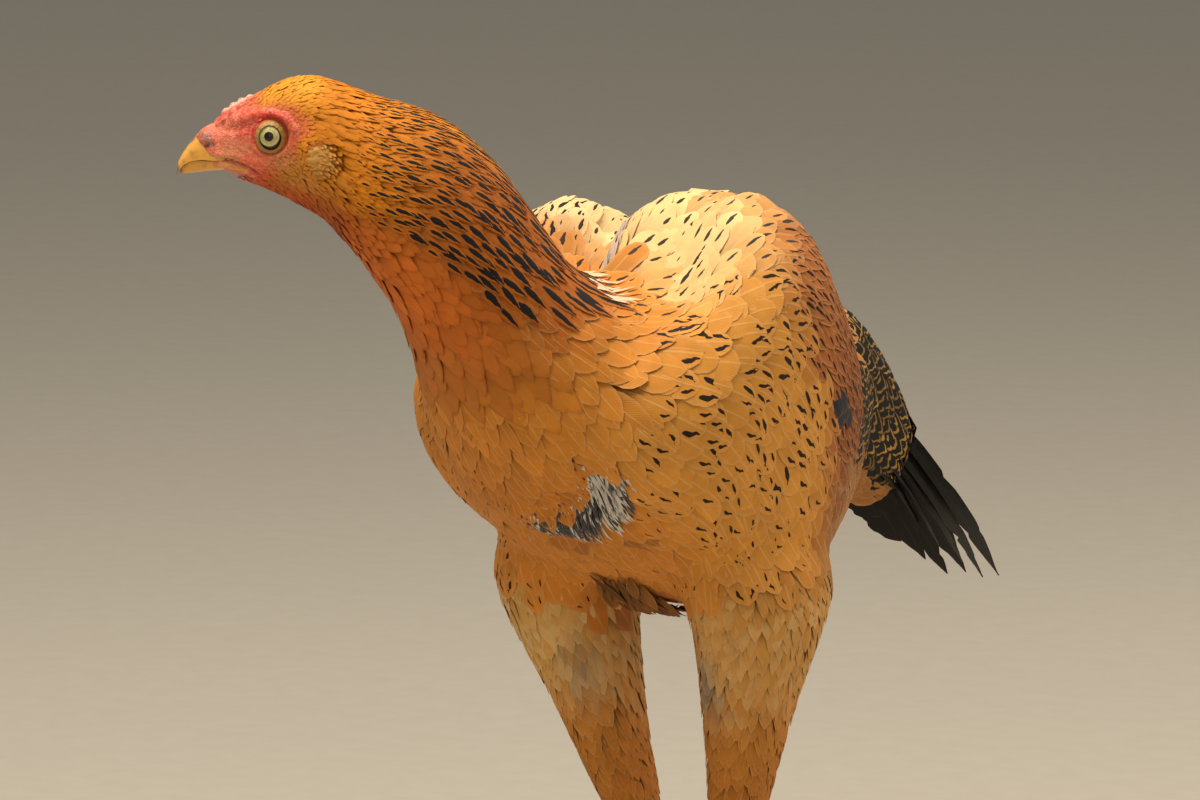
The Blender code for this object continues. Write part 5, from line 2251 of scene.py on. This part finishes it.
@dataclass
class Feet:
    """Horn scales down the shanks and along the toes, and a curved claw on each toe."""

    body: Body
    scale_step: float = 4.1
    toe_step: float = 3.5

    def toe_ahead(self, heading: float, side: int) -> Array:
        """The way a toe points."""
        turn = math.radians(heading)
        return np.array([side * math.sin(turn), -math.cos(turn), 0.0])

    def claws(self) -> None:
        """Builds the claws, each flattened from side to side and grooved under."""
        horn = HornFinish("claw_horn_worn", "B79A66", "574330").make()
        turn = np.linspace(0, 2 * math.pi, 14, endpoint=False)
        low = np.where(np.sin(turn) < 0, 0.72, 1.0)
        for word, side in SIDES.items():
            for name, heading, start, length, _, tip, claw in TOES:
                ahead = self.toe_ahead(heading, side)
                across = np.cross(ahead, [0, 0, 1.0])
                thick = tip * 0.72
                root = np.array([side * FOOT[0], FOOT[1], 0]) + ahead * (start + length - 2.6)
                root = root + np.array([0, 0, thick * 0.86])
                rings = []
                for share in np.linspace(0, 1, 14):
                    middle = root + ahead * (claw + 2.9) * share
                    middle[2] += 1.25 * math.sin(math.pi * share) - (root[2] - 0.55) * share**1.7
                    reach = thick * 0.95 * (1 - share) ** 0.75 + 0.22
                    ring = middle + across * (np.cos(turn) * reach * 0.72)[:, None]
                    ring[:, 2] = np.maximum(middle[2] + np.sin(turn) * reach * low, 0.05)
                    rings.append(ring)
                obj = loft(self.body.bird, f"claw_horn_{word}_{name}", np.array(rings))
                finish_piece(obj, "horn", f"claw_{word}_{name}", finish=horn, smooth=50)

    def rows(self, side: int) -> tuple[Array, ...]:
        """Lays out the scales of one leg.

        Args:
            side: 1 on her left and -1 on her right.

        Returns:
            Their places, lengths, widths and directions.
        """
        scales = []
        shank = catmull(np.array(SHANK), np.linspace(0, len(SHANK) - 1, 200))
        for number, z in enumerate(np.arange(117, 13, -self.scale_step)):
            row = shank[np.argmin(np.abs(shank[:, 2] - z))]
            shift = 12 * (number % 2)
            for angle, wide in SCALE_ROWS:
                turn = math.radians(angle + (shift if abs(angle) > 60 else 3 - shift / 2))
                reach = row[4] if math.cos(turn) > 0 else row[5]
                place = (side * row[0] + math.sin(turn) * row[3], row[1] - math.cos(turn) * reach, z)
                scales.append((place, 5.6 if abs(angle) < 40 else 4.4, wide, (0, 0, -1.0)))
        for _, heading, start, length, root, tip, _ in TOES:
            ahead = self.toe_ahead(heading, side)
            across = np.cross(ahead, [0, 0, 1.0])
            for along in np.arange(-9.0 if heading < 100 else -2.0, length - 2.0, self.toe_step):
                thick = root + (tip - root) * max(along, 0) / length
                for out, wide in TOE_ROWS:
                    middle = np.array([side * FOOT[0], FOOT[1], thick * (1.86 if out == 0 else 1.15)])
                    middle[2] += 4.0 * max(0.0, -along) / 9.0
                    place = middle + ahead * (start + along) + across * thick * out
                    scales.append((place, 4.7, thick * wide, ahead))
        return tuple(np.array(column) for column in zip(*scales))

    def scales(self, follicles: Follicles) -> None:
        """Builds the scales of each leg as one joined piece.

        Args:
            follicles: gives each scale its place on the bake map.
        """
        finish = SkinFinish("leg_scale_horn_yellow", 0.38, 1.1, 0.25, 0.05, 0.25)
        for word, side in SIDES.items():
            places, lengths, widths, ways = self.rows(side)
            spots, faces = self.body.shell.settle(places)
            count = len(spots)
            rng = np.random.default_rng(SEED + 77)
            tone = fill(count, "D2AC52") * (1 + rng.normal(0, 0.06, count))[:, None]
            tone = blend(tone, "9C7A44", ease(places[:, 2], 24, 4) * 0.45)
            patches = follicles.patches(faces)
            roots = Roots(spots, lengths, widths, np.full(count, 0.55), tone, np.zeros(count), patches, ways)
            name = f"leg_scales_{word}"
            kind = Feathers(name, finish, Outline.PLATE, 0.5, 0.02, 0.1, 1.2, 0.01, "leg_scales", 0.02)
            kind.grow(self.body, roots)


SPLITS = ((0.45, 0.55), (0.1, 0.3), (0.012, 0.02))  # least and span of a split's place, depth and width


@dataclass
class Tail:
    """The stiff tail feathers, folded like a low roof. A row is up, tip y, tip z, out and lean."""

    body: Body
    pairs: Rows = (
        (16, 330, 191, 8.6, 14),
        (8, 311, 193, 9.2, 23),
        (0, 288, 203, 9.6, 32),
        (-8, 262, 215, 9.8, 41),
        (-16, 240, 229, 9.8, 50),
    )
    half: float = 8.6
    thick: float = 0.8

    def build(self, follicles: Follicles) -> None:
        """Builds five feathers on each side.

        Args:
            follicles: gives each feather its place on the bake map.
        """
        stiff = Vane("tail_feather_black_gloss", roughness=0.55, gloss=0.12, shaft=0.12, fringe=0.04)
        self.finish = replace(stiff, barbs=60, pale="8A6A3A").make()
        end = np.array(CHART.rows[1])
        turn, rise = np.radians(end[3]), np.radians(end[4])
        level = math.cos(rise)
        heading = np.array([-math.sin(turn) * level, -math.cos(turn) * level, math.sin(rise)])
        left = np.array([math.cos(turn), -math.sin(turn), 0.0])
        dorsal = np.cross(heading, left)
        middle = end[:3] + heading * 8.0
        for word, side in SIDES.items():
            for pair, (up, tip_y, tip_z, out, lean) in enumerate(self.pairs, 1):
                root = middle + dorsal * (up * 0.8) + left * (out * 0.7 * side)
                tip = np.array([-0.08 * (tip_y - 30) + out * side, tip_y, tip_z])
                shape = self.blade(root, tip, lean, side, pair)
                self.dress(f"{word}_{pair}", shape, root, follicles)

    def blade(
        self, root: Array, tip: Array, lean: float, side: int, pair: int
    ) -> tuple[Array, Array]:
        """Shapes one long feather: a raised shaft, and vanes that are worn ragged towards the tip.

        Args:
            root: where it starts, in mm.
            tip: where it ends.
            lean: how steeply it lies, in degrees.
            side: 1 on her left and -1 on her right.
            pair: its number from the middle.

        Returns:
            Its rings of points, and the place of each point on its own map.
        """
        rng = np.random.default_rng(SEED + pair * 2 + (side > 0))
        along = unit(tip - root)
        level = np.array([side, 0.0, 0.0])
        level = unit(level - along * (level @ along))
        above = np.cross(along, level) * -side
        turn = math.radians(lean)
        wide = level * math.cos(turn) - above * math.sin(turn)
        out = above * math.cos(turn) + level * math.sin(turn)
        shares = np.linspace(0, 1, 40)
        pointed = 3.2 if pair > 3 else 1.25
        taper = 1 - np.clip((shares - 0.66) / 0.34, 0, 1) ** pointed
        width = np.minimum(1.0, 0.42 + 2.2 * shares) * taper + 0.03
        columns = np.array([-1, -0.66, -0.33, 0, 0.33, 0.66, 1.0])
        notch = [self.wear(rng, shares) for _ in range(2)]
        rings, place = [], []
        for row, share in enumerate(shares):
            middle = root + (tip - root) * share + out * 3.0 * math.sin(math.pi * share)
            inner, outer = width[row] * notch[0][row] * 0.9, width[row] * notch[1][row] * 1.1
            reach = np.where(columns < 0, inner, outer) * self.half
            bulge = 1.0 - columns**2
            thick = self.thick / 2 * (1 - 0.45 * share) * (0.3 + 0.7 * bulge)
            quill = 0.7 * (1 - 0.75 * share) * (columns == 0)
            camber = -0.13 * reach * columns**2
            slip = along * (np.abs(columns) * width[row] * 3.0 - 3.0 * width[row])[:, None]
            base = middle + wide * (columns * reach)[:, None] + out * camber[:, None] + slip
            top = base + out * (thick + quill)[:, None]
            low = base - out * (thick + quill * 0.5)[:, None]
            rings.append(np.concatenate([top, low[::-1][1:-1]]))
            u = (columns + 1) / 2
            place.append(np.stack([np.concatenate([u, u[::-1][1:-1]]), np.full(12, share)], 1))
        return np.array(rings), np.concatenate([np.concatenate(place), [[0.5, 0.0], [0.5, 1.0]]])

    def dress(
        self, word: str, shape: tuple[Array, Array], root: Array, follicles: Follicles
    ) -> None:
        """Makes the piece and gives it its maps and its finish.

        Args:
            word: its side and number.
            shape: its rings, and its own map.
            root: where it starts, in mm.
            follicles: gives it its place on the bake map.
        """
        rings, own = shape
        obj = loft(self.body.bird, f"tail_quill_{word}", rings)
        set_uv(obj.data, "Vane", own)
        _, faces = self.body.shell.settle(root[None])
        set_patch(obj.data, follicles.patches(faces)[0] + (own - 0.5) * PATCH)
        set_tone(obj.data, fill(len(own), "1C1815"))
        set_mark(obj.data, np.zeros(len(own)))
        finish_piece(obj, "tail_black", f"tail_feather_{word}", finish=self.finish, smooth=50)

    def wear(self, rng: np.random.Generator, shares: Array) -> Array:
        """How much of one vane is left, with splits between the barbs near the tip.

        Args:
            rng: places the splits.
            shares: places along the feather.

        Returns:
            The share that is left at each place.
        """
        left = np.ones(len(shares))
        for _ in range(4):
            at, deep, wide = (least + span * rng.random() for least, span in SPLITS)
            left -= deep * np.exp(-(((shares - at) / wide) ** 2))
        return np.clip(left, 0.35, 1)


# ---- stage


@dataclass(frozen=True)
class Paper(Finish):
    """Matt studio paper: an even pale surface with a faint tooth."""

    name: str = "studio_paper_matt"
    colour: str = "B9B0A0"
    worn: str = "B1A897"

    def make(self) -> Material:
        """Builds the material.

        Returns:
            The material.
        """
        material, put = self.start(Roughness=0.9)
        tooth = put("TexNoise", Vector=put("TexCoord", out=3), Scale=60.0, Detail=3.0)
        return self.cover(material, put("Mix/MIX", tooth, linear(self.colour), linear(self.worn)))


@dataclass(frozen=True)
class Studio:
    """A plain pale floor of warm grey paper, soft lamps and the camera."""

    bird: BirdFrame
    azimuth: float = 32.0
    elevation: float = 8.0
    distance: float = 3.0
    lens: float = 214.3
    target: tuple[float, float, float] = (-0.0311, 0.0101, 0.3091)
    reach: float = 30.0  # how far the floor goes on every side, in metres

    def build(self) -> None:
        """Builds the floor, the lamps, the world and the camera."""
        self.floor()
        self.lamps()
        self.camera()

    def floor(self) -> None:
        """The floor, one flat sheet that reaches far past the bird on every side."""
        corners = np.array([(-1, -1, 0), (1, -1, 0), (1, 1, 0), (-1, 1, 0)]) * self.reach
        obj = make_object("studio_floor", corners, [[0, 1, 2, 3]])
        obj.data.materials.append(Paper().make())

    def lamp(self, name: str, place: tuple[float, ...], size: float, watts: float, colour: str) -> None:
        """One soft square lamp that looks at the bird.

        Args:
            name: its name.
            place: where it hangs over the bird's frame, in metres.
            size: length of its side.
            watts: its power.
            colour: its colour.
        """
        data = bpy.data.lights.new(name, "AREA")
        data.shape, data.size, data.energy, data.color = "SQUARE", size, watts, linear(colour)
        lamp = bpy.data.objects.new(name, data)
        lamp.location = Vector(self.bird.home) + Vector(place)
        towards = Vector(self.bird.home) + Vector((0, 0, 0.33)) - lamp.location
        lamp.rotation_euler = towards.to_track_quat("-Z", "Y").to_euler()
        bpy.context.scene.collection.objects.link(lamp)

    def lamps(self) -> None:
        """A high key, a low fill from the camera's side and a pale sky."""
        self.lamp("key_lamp", (-0.3, -0.5, 2.4), 1.3, 58, "FFF6EA")
        self.lamp("rim_lamp", (1.2, 1.5, 1.9), 1.2, 26, "FFF4E4")
        self.lamp("fill_lamp", (1.6, -2.2, 0.9), 2.0, 8, "FFF4E6")
        world = bpy.data.worlds.new("studio_sky")
        world.use_nodes = True
        sky = world.node_tree.nodes["Background"]
        sky.inputs[0].default_value, sky.inputs[1].default_value = (*linear("E4E2DC"), 1), 0.42
        bpy.context.scene.world = world
        bpy.context.scene.view_settings.view_transform = "Standard"

    def camera(self) -> None:
        """The camera, at the height of her back and well ahead of her left side."""
        a, e = math.radians(self.azimuth), math.radians(self.elevation)
        back = Vector((math.sin(a) * math.cos(e), -math.cos(a) * math.cos(e), math.sin(e)))
        data = bpy.data.cameras.new("camera")
        data.lens, data.sensor_width = self.lens, 36.0
        data.clip_start, data.clip_end = 0.1, 60.0
        camera = bpy.data.objects.new("camera", data)
        camera.location = Vector(self.bird.home) + Vector(self.target) + back * self.distance
        camera.rotation_euler = (-back).to_track_quat("-Z", "Y").to_euler()
        bpy.context.scene.collection.objects.link(camera)
        bpy.context.scene.camera = camera


# ---- main


def main() -> None:
    """Builds the bird, piece by piece."""
    logging.basicConfig(level=logging.INFO, format="%(message)s")
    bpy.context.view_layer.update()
    bird = find_frame()
    Studio(bird).build()
    horn = Bill(bird).build()
    Eyes(bird).build()
    body = Skin(bird, horn).build()
    follicles = Follicles(body)
    Plumage(body, follicles).build()
    Tail(body).build(follicles)
    feet = Feet(body)
    feet.scales(follicles)
    feet.claws()


if __name__ == "__main__":
    main()
